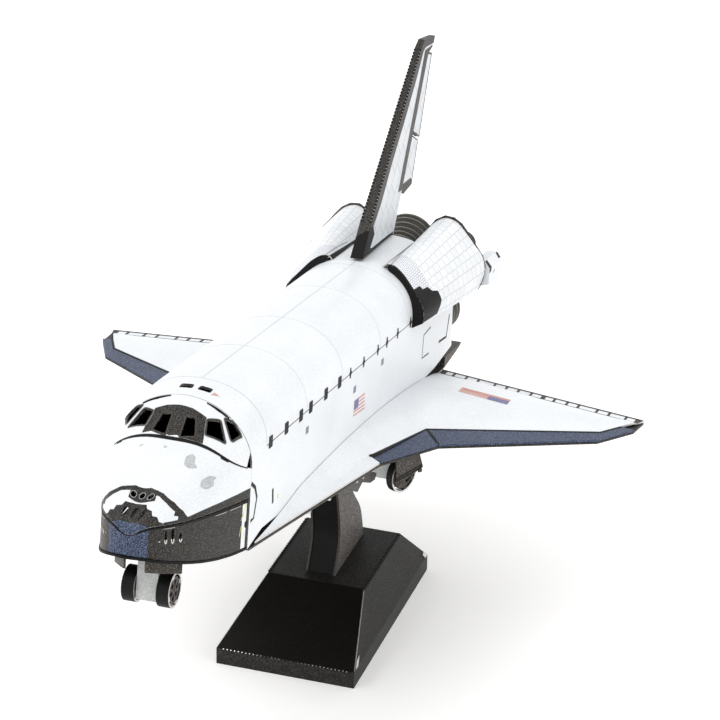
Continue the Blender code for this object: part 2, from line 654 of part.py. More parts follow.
def build_stand():
    solid = bmesh.new()
    def ring(half, front, back, z, inset):
        return [solid.verts.new(Vector((x, y, z)) * MM) for x, y in
                ((-half + inset, -front + inset), (half - inset, -front + inset),
                 (half - inset, back - inset), (-half + inset, back - inset))]
    t = STAND_SHEET
    foot, top = (BASE_HALF, BASE_FRONT, BASE_BACK), (TOP_HALF, TOP_FRONT, TOP_BACK)
    rings = [ring(*foot, 0, 0), ring(*foot, SKIRT, 0), ring(*top, BASE_HEIGHT, 0),
             ring(*top, BASE_HEIGHT - t, t * 0.8), ring(*foot, SKIRT - t * 0.5, t), ring(*foot, 0, t)]
    for low, high in ((0, 1), (1, 2), (3, 4), (4, 5), (5, 0)):
        for k in range(4):
            j = (k + 1) % 4
            solid.faces.new((rings[low][k], rings[low][j], rings[high][j], rings[high][k]))
    solid.faces.new(rings[2])
    solid.faces.new(rings[3])
    base = make_object("stand_base", solid, "black_sheet", smooth=False)
    base.location = (0, CENTRE_Y * MM, 0)


def orbiter_floor_height(y):
    """World height of the orbiter's underside above a place on the stand."""
    c, s = math.cos(PITCH), math.sin(PITCH)
    return (BELLY_TOP_Z - SHEET - SHIFT_Z - s * y) / c


def build_arm():
    """The curved channel, open to the back, that carries the orbiter."""
    foot = BASE_HEIGHT + GAP
    front = [(-4.4, foot), (-2.4, 11.5), (-3.0, 16.5), (-4.4, 21.0), (-6.6, 26.0)]
    front.append((-8.2, orbiter_floor_height(-8.2) - GAP))
    back = [(-3.6, orbiter_floor_height(-3.6) - GAP), (-2.6, 26.0), (-0.2, 20.5), (2.8, 16.0),
            (6.1, 12.0), (7.6, foot)]
    solid = bmesh.new()
    t = STAND_SHEET
    count = len(front)
    back_up = list(reversed(back))
    columns = []
    for x, web in ((-ARM_HALF, 0), (-ARM_HALF + t, t), (ARM_HALF - t, t), (ARM_HALF, 0)):
        open_side = [solid.verts.new(Vector((x, y, z)) * MM) for y, z in back_up]
        web_side = [solid.verts.new(Vector((x, y + web, z)) * MM) for y, z in front]
        columns.append((open_side, web_side))
    (f0, r0), (f1, r1), (f2, r2), (f3, r3) = columns
    for i in range(count - 1):
        for quad in ((f0[i], f0[i + 1], r0[i + 1], r0[i]), (f1[i], r1[i], r1[i + 1], f1[i + 1]),
                     (f0[i], f1[i], f1[i + 1], f0[i + 1]), (f2[i], f2[i + 1], r2[i + 1], r2[i]),
                     (f3[i], r3[i], r3[i + 1], f3[i + 1]), (f2[i], f3[i], f3[i + 1], f2[i + 1]),
                     (r1[i], r2[i], r2[i + 1], r1[i + 1]), (r0[i], r0[i + 1], r3[i + 1], r3[i])):
            solid.faces.new(quad)
    for i in (0, count - 1):
        solid.faces.new((f0[i], f1[i], r1[i], r0[i]))
        solid.faces.new((f2[i], f3[i], r3[i], r2[i]))
        solid.faces.new((r0[i], r1[i], r2[i], r3[i]))
    arm = make_object("stand_arm", solid, "black_sheet")
    arm.location = (0, CENTRE_Y * MM, 0)


def build_all():
    clear_scene()
    orbiter = bpy.data.objects.new("orbiter_frame", None)
    bpy.context.scene.collection.objects.link(orbiter)
    tilt = Matrix.Rotation(-PITCH, 4, "X")
    orbiter.rotation_euler = (-PITCH, 0, 0)
    orbiter.location = (tilt @ Vector((0, -SHIFT_Y, -SHIFT_Z)) + Vector((0, CENTRE_Y, 0))) * MM
    build_fuselage_skin(orbiter)
    build_nose(orbiter)
    build_canopy(orbiter)
    build_belly(orbiter)
    build_wings(orbiter)
    build_stern(orbiter)
    build_engines(orbiter)
    build_pods(orbiter)
    build_fin(orbiter)
    build_nose_gear(orbiter)
    build_main_gear(orbiter)
    build_stand()
    build_arm()
    bpy.context.view_layer.update()


build_all()
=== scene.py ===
import math

import bmesh
import bpy
from mathutils import Matrix, Vector
from mathutils.geometry import tessellate_polygon


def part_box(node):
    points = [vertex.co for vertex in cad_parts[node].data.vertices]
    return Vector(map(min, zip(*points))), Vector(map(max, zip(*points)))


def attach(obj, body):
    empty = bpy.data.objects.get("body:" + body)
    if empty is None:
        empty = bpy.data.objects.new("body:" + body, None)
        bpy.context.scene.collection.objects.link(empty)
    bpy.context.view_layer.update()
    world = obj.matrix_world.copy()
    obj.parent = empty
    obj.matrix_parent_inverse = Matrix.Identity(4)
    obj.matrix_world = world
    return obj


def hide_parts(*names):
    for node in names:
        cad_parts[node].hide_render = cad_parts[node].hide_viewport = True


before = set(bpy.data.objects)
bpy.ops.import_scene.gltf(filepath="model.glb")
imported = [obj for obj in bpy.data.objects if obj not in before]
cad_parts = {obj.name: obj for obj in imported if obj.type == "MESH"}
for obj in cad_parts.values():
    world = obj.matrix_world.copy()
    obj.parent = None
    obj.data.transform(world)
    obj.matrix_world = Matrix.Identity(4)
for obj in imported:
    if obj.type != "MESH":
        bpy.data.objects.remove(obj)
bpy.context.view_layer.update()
print("frame loaded,", len(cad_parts), "nodes")

mm = 0.001

# How the craft sits: pitch in degrees, the pivot in its own frame in mm (x to port, y aft, z up)
craft = {"pitch": 9.8, "pivotY": 83.3, "pivotZ": -7.0, "standFront": 18.2}
pitchSin, pitchCos = math.sin(math.radians(craft["pitch"])), math.cos(math.radians(craft["pitch"]))
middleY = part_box("stand_base")[0].y / mm + craft["standFront"]


def toWorld(p):
    # A point of the craft's own frame, in mm, placed in the scene in metres.
    y, z = p[1] - craft["pivotY"], p[2] - craft["pivotZ"]
    return Vector((p[0], pitchCos * y + pitchSin * z + middleY, pitchCos * z - pitchSin * y)) * mm


# Finishes, all read in object coordinates so that grain runs on from piece to piece

finishParts = ("ground", "speck", "share", "size", "rough", "shine", "grain")
finishes = {name: dict(zip(finishParts, values)) for name, *values in (
    ("whitePrint", (0.83, 0.85, 0.87), (0.74, 0.765, 0.79), 0.42, 0.17, 0.36, 0.4, 0.10),
    ("charcoalPrint", (0.010, 0.009, 0.008), (0.095, 0.085, 0.075), 0.55, 0.12, 0.45, 0.25, 0.3),
    ("blueGreyPrint", (0.013, 0.019, 0.045), (0.15, 0.20, 0.32), 0.55, 0.105, 0.42, 0.3, 0.3),
    # Black print; the same black is also painted shade on the backs of sheets, in the perforations and inside
    # the arm and the bells
    ("blackPrint", (0.004, 0.004, 0.004), (0.016, 0.015, 0.014), 0.60, 0.11, 0.5, 0.15, 0.2),
    ("standPrint", (0.008, 0.0075, 0.007), (0.042, 0.039, 0.035), 0.54, 0.15, 0.5, 0.22, 0.5),
    ("frontPrint", (0.006, 0.0055, 0.005), (0.024, 0.022, 0.020), 0.62, 0.11, 0.32, 0.15, 0.4),
    ("armPrint", (0.055, 0.049, 0.045), (0.25, 0.225, 0.21), 0.53, 0.15, 0.5, 0.2, 0.3),
    ("greyPrint", (0.40, 0.42, 0.41), (0.54, 0.55, 0.54), 0.5, 0.14, 0.40, 0.4, 0.25),
    ("brownGreyPrint", (0.020, 0.017, 0.014), (0.16, 0.140, 0.122), 0.55, 0.13, 0.48, 0.22, 0.35),
    ("rimPrint", (0.030, 0.027, 0.023), (0.085, 0.078, 0.068), 0.5, 0.10, 0.45, 0.2, 0.2),
    ("bellPrint", (0.020, 0.018, 0.015), (0.065, 0.059, 0.049), 0.55, 0.12, 0.42, 0.2, 0.3),
    ("hoopPrint", (0.17, 0.165, 0.15), (0.28, 0.27, 0.25), 0.5, 0.12, 0.4, 0.3, 0.2),
    ("linePrint", (0.58, 0.60, 0.63), (0.66, 0.68, 0.71), 0.5, 0.2, 0.4, 0.3, 0.1),
    ("smudgePrint", (0.42, 0.44, 0.45), (0.56, 0.58, 0.59), 0.5, 0.2, 0.4, 0.3, 0.1),
    ("mauvePrint", (0.16, 0.14, 0.20), (0.28, 0.25, 0.33), 0.5, 0.12, 0.4, 0.3, 0.2),
    ("redPrint", (0.56, 0.25, 0.21), (0.74, 0.47, 0.41), 0.5, 0.13, 0.4, 0.3, 0.2),
    ("bluePrint", (0.105, 0.105, 0.25), (0.21, 0.21, 0.38), 0.5, 0.12, 0.4, 0.3, 0.2),
    ("limePrint", (0.62, 0.66, 0.16), (0.75, 0.78, 0.35), 0.5, 0.13, 0.4, 0.3, 0.2))}
tiled = {"podTiles": {"tile": (1.45, 1.3), "joint": 0.055, "ink": (0.83, 0.85, 0.87), "turn": 0,
                      "upright": False, "near": (0.55, 0.42), "nearDark": (0.36, 0.38, 0.45),
                      "nearUntil": 4.4, "slant": 0.08},
         "finTiles": {"tile": (3.1, 2.6), "joint": 0.09, "ink": (0.66, 0.69, 0.72), "turn": -38,
                      "upright": True, "near": None}}
ink = {"detail": 1.5, "edge": (-0.07, 0.13), "cloud": 7, "cloudDetail": 3.0, "tone": (0.90, 1.08),
       "gloss": (-0.08, 0.10), "depth": 0.02, "tileTone": (0.93, 1.05), "otherTile": 0.93, "jointTone": 0.62,
       "jointSoft": 0.4, "groove": 0.25}
steel = {"tint": (0.60, 0.58, 0.56), "rough": 0.28, "brushed": 0.05, "streak": 0.4, "detail": 4.0,
         "stretch": (1, 1, 6), "shades": (0.75, 1.2), "gloss": (-0.1, 0.15), "depth": 0.01}
made = {}


def feed(node, sockets):
    # Set a node's inputs by name or number: a socket is linked, any other value is stored.
    for key, value in sockets.items():
        if isinstance(value, bpy.types.NodeSocket):
            node.id_data.links.new(value, node.inputs[key])
        else:
            node.inputs[key].default_value = value


def addNode(tree, kind, sockets=None, **settings):
    # One node; a kind without the word Node is a shader node.
    node = tree.nodes.new(kind if "Node" in kind else "ShaderNode" + kind)
    for key, value in settings.items():
        setattr(node, key, value)
    feed(node, sockets or {})
    return node


def noise(tree, place, size, detail):
    speckle = addNode(tree, "TexNoise", {"Vector": place, "Scale": 1 / (size * mm), "Detail": detail})
    return speckle.outputs["Fac"]


def spread(tree, source, limits, middle=0.0):
    low, high = [middle + limit for limit in limits]
    return addNode(tree, "MapRange", {"Value": source, "To Min": low, "To Max": high}).outputs["Result"]


def toned(tree, colour, source, limits):
    # The colour, darker and lighter by turns.
    return addNode(tree, "Mix", {0: 1.0, 6: colour, 7: spread(tree, source, limits)}, data_type="RGBA",
                   blend_type="MULTIPLY").outputs[2]


def relief(tree, height, strength, depth, **settings):
    return addNode(tree, "Bump", {"Height": height, "Strength": strength, "Distance": depth * mm},
                   **settings).outputs["Normal"]


def startMaterial(name):
    material = made[name] = bpy.data.materials.new(name)
    material.use_nodes = True
    return material.node_tree, material.node_tree.nodes["Principled BSDF"]


def printedFinish(name, look):
    # Ink on sheet metal: two inks in a fine speckle, slow cloudy changes of tone and a grain.
    tree, shader = startMaterial(name)
    place = addNode(tree, "TexCoord").outputs["Object"]
    fine = noise(tree, place, look["size"], ink["detail"])
    edge = addNode(tree, "MapRange", {"Value": fine, "From Min": look["share"] + ink["edge"][0],
                                      "From Max": look["share"] + ink["edge"][1]})
    inks = addNode(tree, "Mix", {0: edge.outputs["Result"], 6: (*look["ground"], 1), 7: (*look["speck"], 1)},
                   data_type="RGBA")
    slow = noise(tree, place, ink["cloud"], ink["cloudDetail"])
    feed(shader, {"Base Color": toned(tree, inks.outputs[2], slow, ink["tone"]),
                  "Roughness": spread(tree, slow, ink["gloss"], look["rough"]),
                  "Normal": relief(tree, fine, look["grain"], ink["depth"]),
                  "Specular IOR Level": look["shine"]})


def steelFinish():
    # Bare cut edges and the tabs bent out of the sheet.
    tree, shader = startMaterial("cutSteel")
    place = addNode(tree, "TexCoord").outputs["Object"]
    stretch = addNode(tree, "Mapping", {"Vector": place, "Scale": steel["stretch"]})
    streaks = noise(tree, stretch.outputs["Vector"], steel["streak"], steel["detail"])
    shade = addNode(tree, "ValToRGB", {"Fac": streaks})
    for element, tone in zip(shade.color_ramp.elements, steel["shades"]):
        element.color = (*[min(1, c * tone) for c in steel["tint"]], 1)
    feed(shader, {"Base Color": shade.outputs["Color"], "Metallic": 1.0,
                  "Roughness": spread(tree, streaks, steel["gloss"], steel["rough"]),
                  "Normal": relief(tree, streaks, steel["brushed"], steel["depth"])})


def tiledFinish(name, look):
    # White ink with tile joints, small tiles giving way to larger ones, on the flat pattern in mm or,
    # upright, on the side view of the fin
    base = finishes["whitePrint"]
    tree, shader = startMaterial(name)
    place = addNode(tree, "TexCoord").outputs["Object"]
    if look["upright"]:
        parts = addNode(tree, "SeparateXYZ", {"Vector": place}).outputs
        flat = addNode(tree, "CombineXYZ", {"X": parts["Y"], "Y": parts["Z"]})
        pattern = addNode(tree, "Mapping", {"Vector": flat.outputs["Vector"], "Scale": [1 / mm] * 3})
        pattern = pattern.outputs["Vector"]
    else:
        pattern = addNode(tree, "UVMap", uv_map="pattern").outputs["UV"]
    turned = addNode(tree, "Mapping", {"Vector": pattern, "Rotation": (0, 0, math.radians(look["turn"]))})

    def tiles(size, dark):
        return addNode(tree, "TexBrick", {
            "Vector": turned.outputs["Vector"], "Scale": 1.0, "Color1": (*look["ink"], 1),
            "Color2": (*[c * ink["otherTile"] for c in look["ink"]], 1), "Mortar": (*dark, 1),
            "Mortar Size": look["joint"], "Mortar Smooth": ink["jointSoft"], "Brick Width": size[0],
            "Row Height": size[1]}, offset=0.5).outputs

    large = tiles(look["tile"], [c * ink["jointTone"] for c in look["ink"]])
    colour = large["Color"]
    if look["near"]:
        small = tiles(look["near"], look["nearDark"])
        split = addNode(tree, "SeparateXYZ", {"Vector": pattern}).outputs
        moved = addNode(tree, "Math", {0: split["Y"], 1: look["slant"], 2: split["X"]},
                        operation="MULTIPLY_ADD")
        first = addNode(tree, "Math", {0: moved.outputs[0], 1: look["nearUntil"]}, operation="LESS_THAN")
        colour = addNode(tree, "Mix", {0: first.outputs[0], 6: colour, 7: small["Color"]},
                         data_type="RGBA").outputs[2]
    fine = noise(tree, place, base["size"], ink["detail"])
    feed(shader, {"Base Color": toned(tree, colour, fine, ink["tileTone"]),
                  "Normal": relief(tree, large["Fac"], ink["groove"], ink["depth"], invert=True),
                  "Roughness": base["rough"], "Specular IOR Level": base["shine"]})


for name, look in finishes.items():
    printedFinish(name, look)
steelFinish()
for name, look in tiled.items():
    tiledFinish(name, look)
print("finishes made,", len(made))


# Sheet metal: a flat outline, cut along a grid, bent onto a surface and given its thickness

sides = ((1, "port"), (-1, "starboard"))
sheet = {"thick": 0.25, "ink": 0.03, "inkLift": 0.02, "probe": 0.01}


def lerp(a, b, t):
    return a + (b - a) * t


def clamp01(t):
    return max(0.0, min(1.0, t))


def ramp(stations, value):
    # Read a value between (place, value) stations.
    if value <= stations[0][0]:
        return stations[0][1]
    for (a, va), (b, vb) in zip(stations, stations[1:]):
        if value <= b:
            return lerp(va, vb, (value - a) / (b - a))
    return stations[-1][1]


def gridCuts(low, high, step):
    return [k * step for k in range(math.ceil(low / step), math.floor(high / step) + 1)] if step else []


def flatPattern(outline, holes, grid, folds):
    # The outline with its holes as a flat mesh, split on the grid and on each fold's line
    flat = bmesh.new()
    loops = [[Vector((u, v, 0)) for u, v in loop] for loop in [outline] + list(holes)]
    points = [flat.verts.new(p) for loop in loops for p in loop]
    for a, b, c in tessellate_polygon(loops):
        corners = (points[a], points[b], points[c])
        if (corners[1].co - corners[0].co).cross(corners[2].co - corners[0].co).length > 1e-9:
            flat.faces.new(corners)
    cuts = []
    for axis, across in ((0, Vector((1, 0, 0))), (1, Vector((0, 1, 0)))):
        values = [p[axis] for p in outline]
        cuts += [(across * cut, across) for cut in gridCuts(min(values), max(values), grid[axis])]
    for (startU, startV), (endU, endV) in folds:
        cuts.append((Vector((startU, startV, 0)), Vector((startV - endV, endU - startU, 0)).normalized()))
    for place, across in cuts:
        geometry = flat.verts[:] + flat.edges[:] + flat.faces[:]
        bmesh.ops.bisect_plane(flat, geom=geometry, plane_co=place, plane_no=across, dist=1e-6)
    return flat


def surfaceNormal(surface, u, v, facing):
    step = sheet["probe"]
    alongU = surface(u + step, v) - surface(u - step, v)
    alongV = surface(u, v + step) - surface(u, v - step)
    return alongU.cross(alongV).normalized() * facing


def addSheet(solid, outline, surface, holes=(), grid=(0, 0), folds=(), thick=sheet["thick"],
             lift=0.0, facing=1, straight=None, slots=(0, 1, 2), uvScale=(1, 1)):
    # Add one bent sheet to a mesh: printed face, back and cut edge in the given material slots.
    flat = flatPattern(outline, holes, grid, folds)
    layer = solid.loops.layers.uv.get("pattern") or solid.loops.layers.uv.new("pattern")
    outer, inner, places = {}, {}, {}
    for vert in flat.verts:
        u, v = vert.co.x, vert.co.y
        direction = straight or surfaceNormal(surface, u, v, facing)
        point = surface(u, v) + direction * lift
        outer[vert] = solid.verts.new(toWorld(point))
        inner[vert] = solid.verts.new(toWorld(point - direction * thick))
        places[outer[vert]] = places[inner[vert]] = (u * uvScale[0], v * uvScale[1])
    skins = []
    for face in flat.faces:
        skins.append((solid.faces.new([outer[v] for v in face.verts]), slots[0]))
        skins.append((solid.faces.new([inner[v] for v in reversed(face.verts)]), slots[1]))
    for edge in flat.edges:
        if edge.is_boundary:
            a, b = edge.verts
            skins.append((solid.faces.new((outer[a], outer[b], inner[b], inner[a])), slots[2]))
    for face, index in skins:
        face.material_index = index
        for corner in face.loops:
            corner[layer].uv = places[corner.vert]
    flat.free()


def finishPiece(name, solid, materials, replaced=(), smooth=True):
    # Turn a mesh in the making into a finished piece that rides on the model.
    bmesh.ops.recalc_face_normals(solid, faces=solid.faces)
    mesh = bpy.data.meshes.new(name)
    solid.to_mesh(mesh)
    solid.free()
    if smooth:
        mesh.shade_smooth()
        mesh.set_sharp_from_angle(angle=math.radians(32))
    piece = bpy.data.objects.new(name, mesh)
    bpy.context.scene.collection.objects.link(piece)
    for material in materials:
        mesh.materials.append(made[material])
    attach(piece, "root")
    if replaced:
        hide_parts(*replaced)


def bendPiece(name, outline, surface, finish, replaced=(), **options):
    solid = bmesh.new()
    addSheet(solid, outline, surface, **options)
    # The back of each sheet takes black: painted shade, so that the inside seen through windows and holes is
    # dark; the real back is bare steel.
    finishPiece(name, solid, (finish, "blackPrint", "cutSteel"), replaced)


def addInk(solid, shapes, surface, level=1, **options):
    # Ink laid on a sheet: each shape is an outline, or an outline with its holes.
    for shape in shapes:
        outline, holes = shape if isinstance(shape, tuple) else (shape, ())
        addSheet(solid, outline, surface, holes, thick=sheet["ink"], lift=sheet["inkLift"] * level,
                 slots=(0, 0, 0), **options)


def printer(surface, **options):
    # A function that prints shapes on one surface, on that surface's grid and folds.
    def lay(name, shapes, finish, level=1, slot=None):
        solid = bmesh.new()
        addInk(solid, shapes, surface, level, **options)
        finishPiece(name, solid, (finish,))
    return lay


# Outlines on the flat pattern

def mirrored(shape, axis=0):
    if isinstance(shape, tuple):
        return mirrored(shape[0], axis), [mirrored(hole, axis) for hole in shape[1]]
    flipU, flipV = (-1, 1) if axis == 0 else (1, -1)
    return [(u * flipU, v * flipV) for u, v in reversed(shape)]


def bothSides(shapes, axis=0):
    return list(shapes) + [mirrored(s, axis) for s in shapes]


def oval(u, v, halfU, halfV, lean=0.0, count=16):
    angles = [2 * math.pi * k / count for k in range(count)]
    return [(u + halfU * math.cos(a) + lean * math.sin(a), v + halfV * math.sin(a)) for a in angles]


def panel(lowU, lowV, highU, highV):
    return [(lowU, lowV), (highU, lowV), (highU, highV), (lowU, highV)]


def block(u, v, halfU, halfV):
    return panel(u - halfU, v - halfV, u + halfU, v + halfV)


def scaled(outline, scale):
    return [Vector((u * scale[0], v * scale[1])) for u, v in outline]


def unscaled(points, scale):
    return [(q.x / scale[0], q.y / scale[1]) for q in points]


def stroke(points, half, scale=(1, 1)):
    # A line of even width through pattern points; scale gives mm for each pattern unit.
    real = scaled(points, scale)
    left, right = [], []
    for i, p in enumerate(real):
        before, after = real[max(0, i - 1)], real[min(len(real) - 1, i + 1)]
        along = (after - before).normalized()
        side = Vector((-along.y, along.x)) * half
        left.append(p + side)
        right.append(p - side)
    return unscaled(left + right[::-1], scale)


def outset(outline, margin, scale=(1, 1)):
    # The outline grown outwards (or inwards, if margin is negative) by an even margin in mm.
    real = scaled(outline, scale)
    count = len(real)
    turning = sum(real[i].cross(real[(i + 1) % count]) for i in range(count))
    sign = 1 if turning > 0 else -1
    grown = []
    for i, p in enumerate(real):
        a, b = (p - real[i - 1]).normalized(), (real[(i + 1) % count] - p).normalized()
        na, nb = Vector((a.y, -a.x)) * sign, Vector((b.y, -b.x)) * sign
        join = (na + nb).normalized()
        grown.append(p + join * margin / max(0.35, join.dot(na)))
    return unscaled(grown, scale)


def rounded(outline, radius, scale=(1, 1), steps=3):
    # The outline with each corner turned into a small arc.
    real = scaled(outline, scale)
    soft = []
    for i, p in enumerate(real):
        toBefore, toAfter = real[i - 1] - p, real[(i + 1) % len(real)] - p
        a = p + toBefore.normalized() * min(radius, toBefore.length * 0.45)
        b = p + toAfter.normalized() * min(radius, toAfter.length * 0.45)
        for k in range(steps + 1):
            t = k / steps
            soft.append(a * (1 - t) ** 2 + p * 2 * t * (1 - t) + b * t ** 2)
    return unscaled(soft, scale)


# The craft's surfaces, each from pattern coordinates to a place in mm

seamGap = 0.06
body = {"half": 8.0, "noseTip": 7.0, "noseRun": 15.8, "noseRound": 2.44, "archRun": 10.9, "stern": 103.3,
        "deckHalf": 3.45, "deckEnd": 99.0, "podStart": 88.0, "podSill": 1.5, "sideBottom": 22.15}
noseEnd = body["noseTip"] + body["noseRun"]
arch = {"base": ((noseEnd, 31.6), (27.5, 32.8), (50, 33.0), (body["stern"], 33.1)),
        "top": ((noseEnd, 38.6), (27.5, 39.3), (body["stern"], 39.95)),
        "power": ((noseEnd, 1.95), (27.5, 2.15), (body["stern"], 2.2))}
noseCurve = {"chine": 22.5, "chineRise": 2.75, "chinePower": 1.9, "seam": 28.1, "seamBow": 0.5,
             "seamDip": 1.1, "dipHalf": 0.18, "footY": 18.9, "footRun": 3.9, "foot": 31.5, "footRise": 3.4,
             "run": 1.6, "swell": 0.58}
deckV = body["archRun"] * 2 / math.pi * math.asin((body["deckHalf"] / body["half"]) ** 1.1)


def archSize(y):
    base, top, power = [ramp(arch[key], y) for key in ("base", "top", "power")]
    return base, top - base, power


def fuselage(y, v):
    base, rise, power = archSize(y)
    side = 1 if v >= 0 else -1
    if abs(v) >= body["archRun"]:
        return Vector((side * body["half"], y, base - (abs(v) - body["archRun"])))
    angle = abs(v) / body["archRun"] * math.pi / 2
    x = body["half"] * math.sin(angle) ** (2 / power)
    return Vector((side * x, y, base + rise * math.cos(angle) ** (2 / power)))


def nosePlan(u):
    return body["half"] * u, body["noseTip"] + body["noseRun"] * abs(u) ** body["noseRound"]


def chineHeight(y):
    share = clamp01(1 - (y - body["noseTip"]) / body["noseRun"])
    return noseCurve["chine"] + noseCurve["chineRise"] * share ** noseCurve["chinePower"]


def seamHeight(u):
    dip = noseCurve["seamDip"] * math.exp(-(u / noseCurve["dipHalf"]) ** 2)
    return noseCurve["seam"] + noseCurve["seamBow"] * (1 - u * u) - dip


def canopyFoot(u):
    return Vector((body["half"] * u, noseCurve["footY"] + noseCurve["footRun"] * abs(u) ** 8,
                   noseCurve["foot"] + noseCurve["footRise"] * (1 - abs(u) ** 3)))


def noseShell(u, v):
    x, y = nosePlan(u)
    high = canopyFoot(u)
    run = clamp01(v) ** noseCurve["run"]
    return Vector((x, lerp(y, high.y, run), lerp(seamHeight(u) + seamGap, high.z, run ** noseCurve["swell"])))


def noseBand(u, v):
    x, y = nosePlan(u)
    return Vector((x, y, lerp(chineHeight(y), seamHeight(u) - seamGap, v)))


def canopyShell(u, v):
    u = max(-0.999, min(0.999, u))
    base, rise, power = archSize(noseEnd)
    high = Vector((body["half"] * u, noseEnd - seamGap, base + rise * (1 - abs(u) ** power) ** (1 / power)))
    return canopyFoot(u).lerp(high, v)


wing = {"rootX": 8.06, "rootStart": 25.2, "rootEnd": 100.4, "tipRear": (36.8, 95.0), "stripRise": 0.9,
        "tipRise": 0.55, "rootCamber": 2.1, "tipCamber": 0.15, "droop": 0.035, "plateTop": 22.0,
        "gloveStart": (7.95, 23.6), "gloveEnd": (12.15, 59.25), "inset": 0.05, "lip": 1.8, "flange": 1.8,
        "stripFoot": (10.55, 58.8), "stripSpan": 29, "camberFade": 0.8, "camberSkew": 1.2, "camberFull": 0.7}
stripInner = ((10.75, 59.35), (13.7, 73.4), (33.0, 86.2), (34.8, 90.1))
stripOuter = ((12.15, 59.25), (16.4, 69.8), (33.3, 83.6), (34.7, 86.6), (36.45, 90.4))


def plateHeight(x):
    return wing["plateTop"] - (wing["droop"] if x > 0 else 0) * max(0.0, abs(x) - body["half"])


def trailing(x, inset):
    return ramp(((wing["rootX"], wing["rootEnd"]), wing["tipRear"]), x) - inset


def gloveLine(y):
    (startX, startY), (endX, endY) = wing["gloveStart"], wing["gloveEnd"]
    return ramp(((startY, startX), (endY, endX)), y) - wing["inset"]


def skinHeight(x, y):
    front = ramp(((wing["rootX"], wing["rootStart"]), wing["stripFoot"]) + stripInner[1:], x)
    back = trailing(x, wing["flange"])
    t = clamp01((y - front) / max(1e-6, back - front))
    out = clamp01((x - wing["rootX"]) / (wing["tipRear"][0] - wing["rootX"]))
    camber = lerp(wing["rootCamber"], wing["tipCamber"], out ** wing["camberFade"])
    low = sheet["thick"] + seamGap
    base = lerp(lerp(wing["stripRise"], wing["tipRise"], out), low, t ** 2)
    height = base + camber * math.sin(math.pi * t ** wing["camberSkew"]) ** wing["camberFull"]
    lip = clamp01((gloveLine(y) - x) / wing["lip"]) if y < stripInner[0][1] else 1
    return lerp(low, height, lip)


def wingSkin(side):
    return lambda u, v: Vector((side * u, v, plateHeight(side * u) + skinHeight(u, v)))


def edgeStrip(side):
    def place(x, y):
        outer, inner = ramp(stripOuter, x), ramp(stripInner, x)
        share = clamp01((y - outer) / max(0.5, inner - outer))
        out = clamp01((x - body["half"]) / wing["stripSpan"])
        crown = lerp(wing["stripRise"], wing["tipRise"], out)
        rise = share * (crown - sheet["thick"] - seamGap)
        if x < stripInner[0][0]:
            rise = wing["stripRise"] - sheet["thick"]
        return Vector((side * x, y, plateHeight(side * x) + sheet["thick"] + seamGap + rise))
    return place


podFront = ((3.9, 39.75), (4.8, 39.7), (5.6, 39.2), (6.3, 38.6), (7.1, 37.7), (7.9, 36.75),
            (8.7, 35.8), (9.4, 34.4), (9.3, 32.9))
podRear = ((3.6, 39.4), (4.4, 41.1), (6.0, 42.15), (7.7, 41.8), (9.1, 40.5), (10.4, 39.0),
           (11.5, 37.7), (12.0, 35.6), (11.3, 33.1))
pod = {"innerY": 84.5, "outerY": 83.8, "swell": 0.35}


def along(points, t):
    # Smooth curve through points, t from 0 to 1.
    place = clamp01(t) * (len(points) - 1)
    i = min(int(place), len(points) - 2)
    f = place - i
    before, after = points[max(0, i - 1)], points[min(len(points) - 1, i + 2)]
    return [0.5 * (2 * q + (r - p) * f + (2 * p - 5 * q + 4 * r - w) * f ** 2
                   + (3 * q - p - 3 * r + w) * f ** 3)
            for p, q, r, w in zip(before, points[i], points[i + 1], after)]


def podShell(side):
    def place(u, t):
        share = u * (1 + pod["swell"] - pod["swell"] * u)
        x, z = [lerp(a, b, share) for a, b in zip(along(podFront, t), along(podRear, t))]
        return Vector((side * x, lerp(lerp(pod["innerY"], pod["outerY"], t), body["stern"], u), z))
    return place


tail = {"front": ((40.1, 83.8), (43.9, 86.6), (63.9, 105.4)), "rootHalf": 0.8, "tipHalf": 0.45,
        "backHalf": 0.35, "taper": 12.0, "rudderHalf": 0.45, "rudderBack": 0.3}
tailHeights = [z for z, y in tail["front"]]


def finFront(z):
    return ramp(tail["front"], z)


def finHalf(z):
    share = (z - tailHeights[0]) / (tailHeights[-1] - tailHeights[0])
    return lerp(tail["rootHalf"], tail["tipHalf"], clamp01(share))


def finFace(side):
    return tailFace(side, finHalf, tail["backHalf"])


def rudderFace(side):
    return tailFace(side, lambda z: tail["rudderHalf"], tail["rudderBack"])


def tailFace(side, frontHalf, backHalf):
    # A side of the fin or of a rudder leaf, closer to the middle towards the back
    def place(y, z):
        share = clamp01((y - finFront(z)) / tail["taper"])
        return Vector((side * lerp(frontHalf(z), backHalf, share), y, z))
    return place


# Nose: thruster ring, cap, holes and the paint line, then the band below

nose = {"holeRadius": 0.33, "holeScale": (8.2, 11), "holes": ((-0.09, 0.425), (0.035, 0.43), (0.16, 0.405)),
        "slanted": ((-0.11, 0.235, 0.012), (0.015, 0.25, 0.02), (0.14, 0.215, 0.03)),
        "slantedHalf": (0.028, 0.06),
        "rim": 0.045, "capHalf": 0.25, "capHeight": 0.14, "capSteps": 8, "smudgeScale": (11, 14),
        "slots": ((0.378, 0.60, 0.007, 0.045), (0.437, 0.68, 0.0105, 0.19), (0.497, 0.70, 0.0115, 0.21),
                  (0.562, 0.64, 0.0105, 0.12)),
        "slotScale": (16, 3.6), "seamScale": (17, 5), "endScale": (38, 6)}
shellGrid, bandGrid = (0.04, 0.05), (0.04, 0.25)
onShell, onBand = printer(noseShell, grid=shellGrid), printer(noseBand, grid=bandGrid)
roundHoles = [oval(u, v, nose["holeRadius"] / nose["holeScale"][0], nose["holeRadius"] / nose["holeScale"][1])
              for u, v in nose["holes"]]
slantedHoles = [oval(u, v, *nose["slantedHalf"], lean=lean) for u, v, lean in nose["slanted"]]
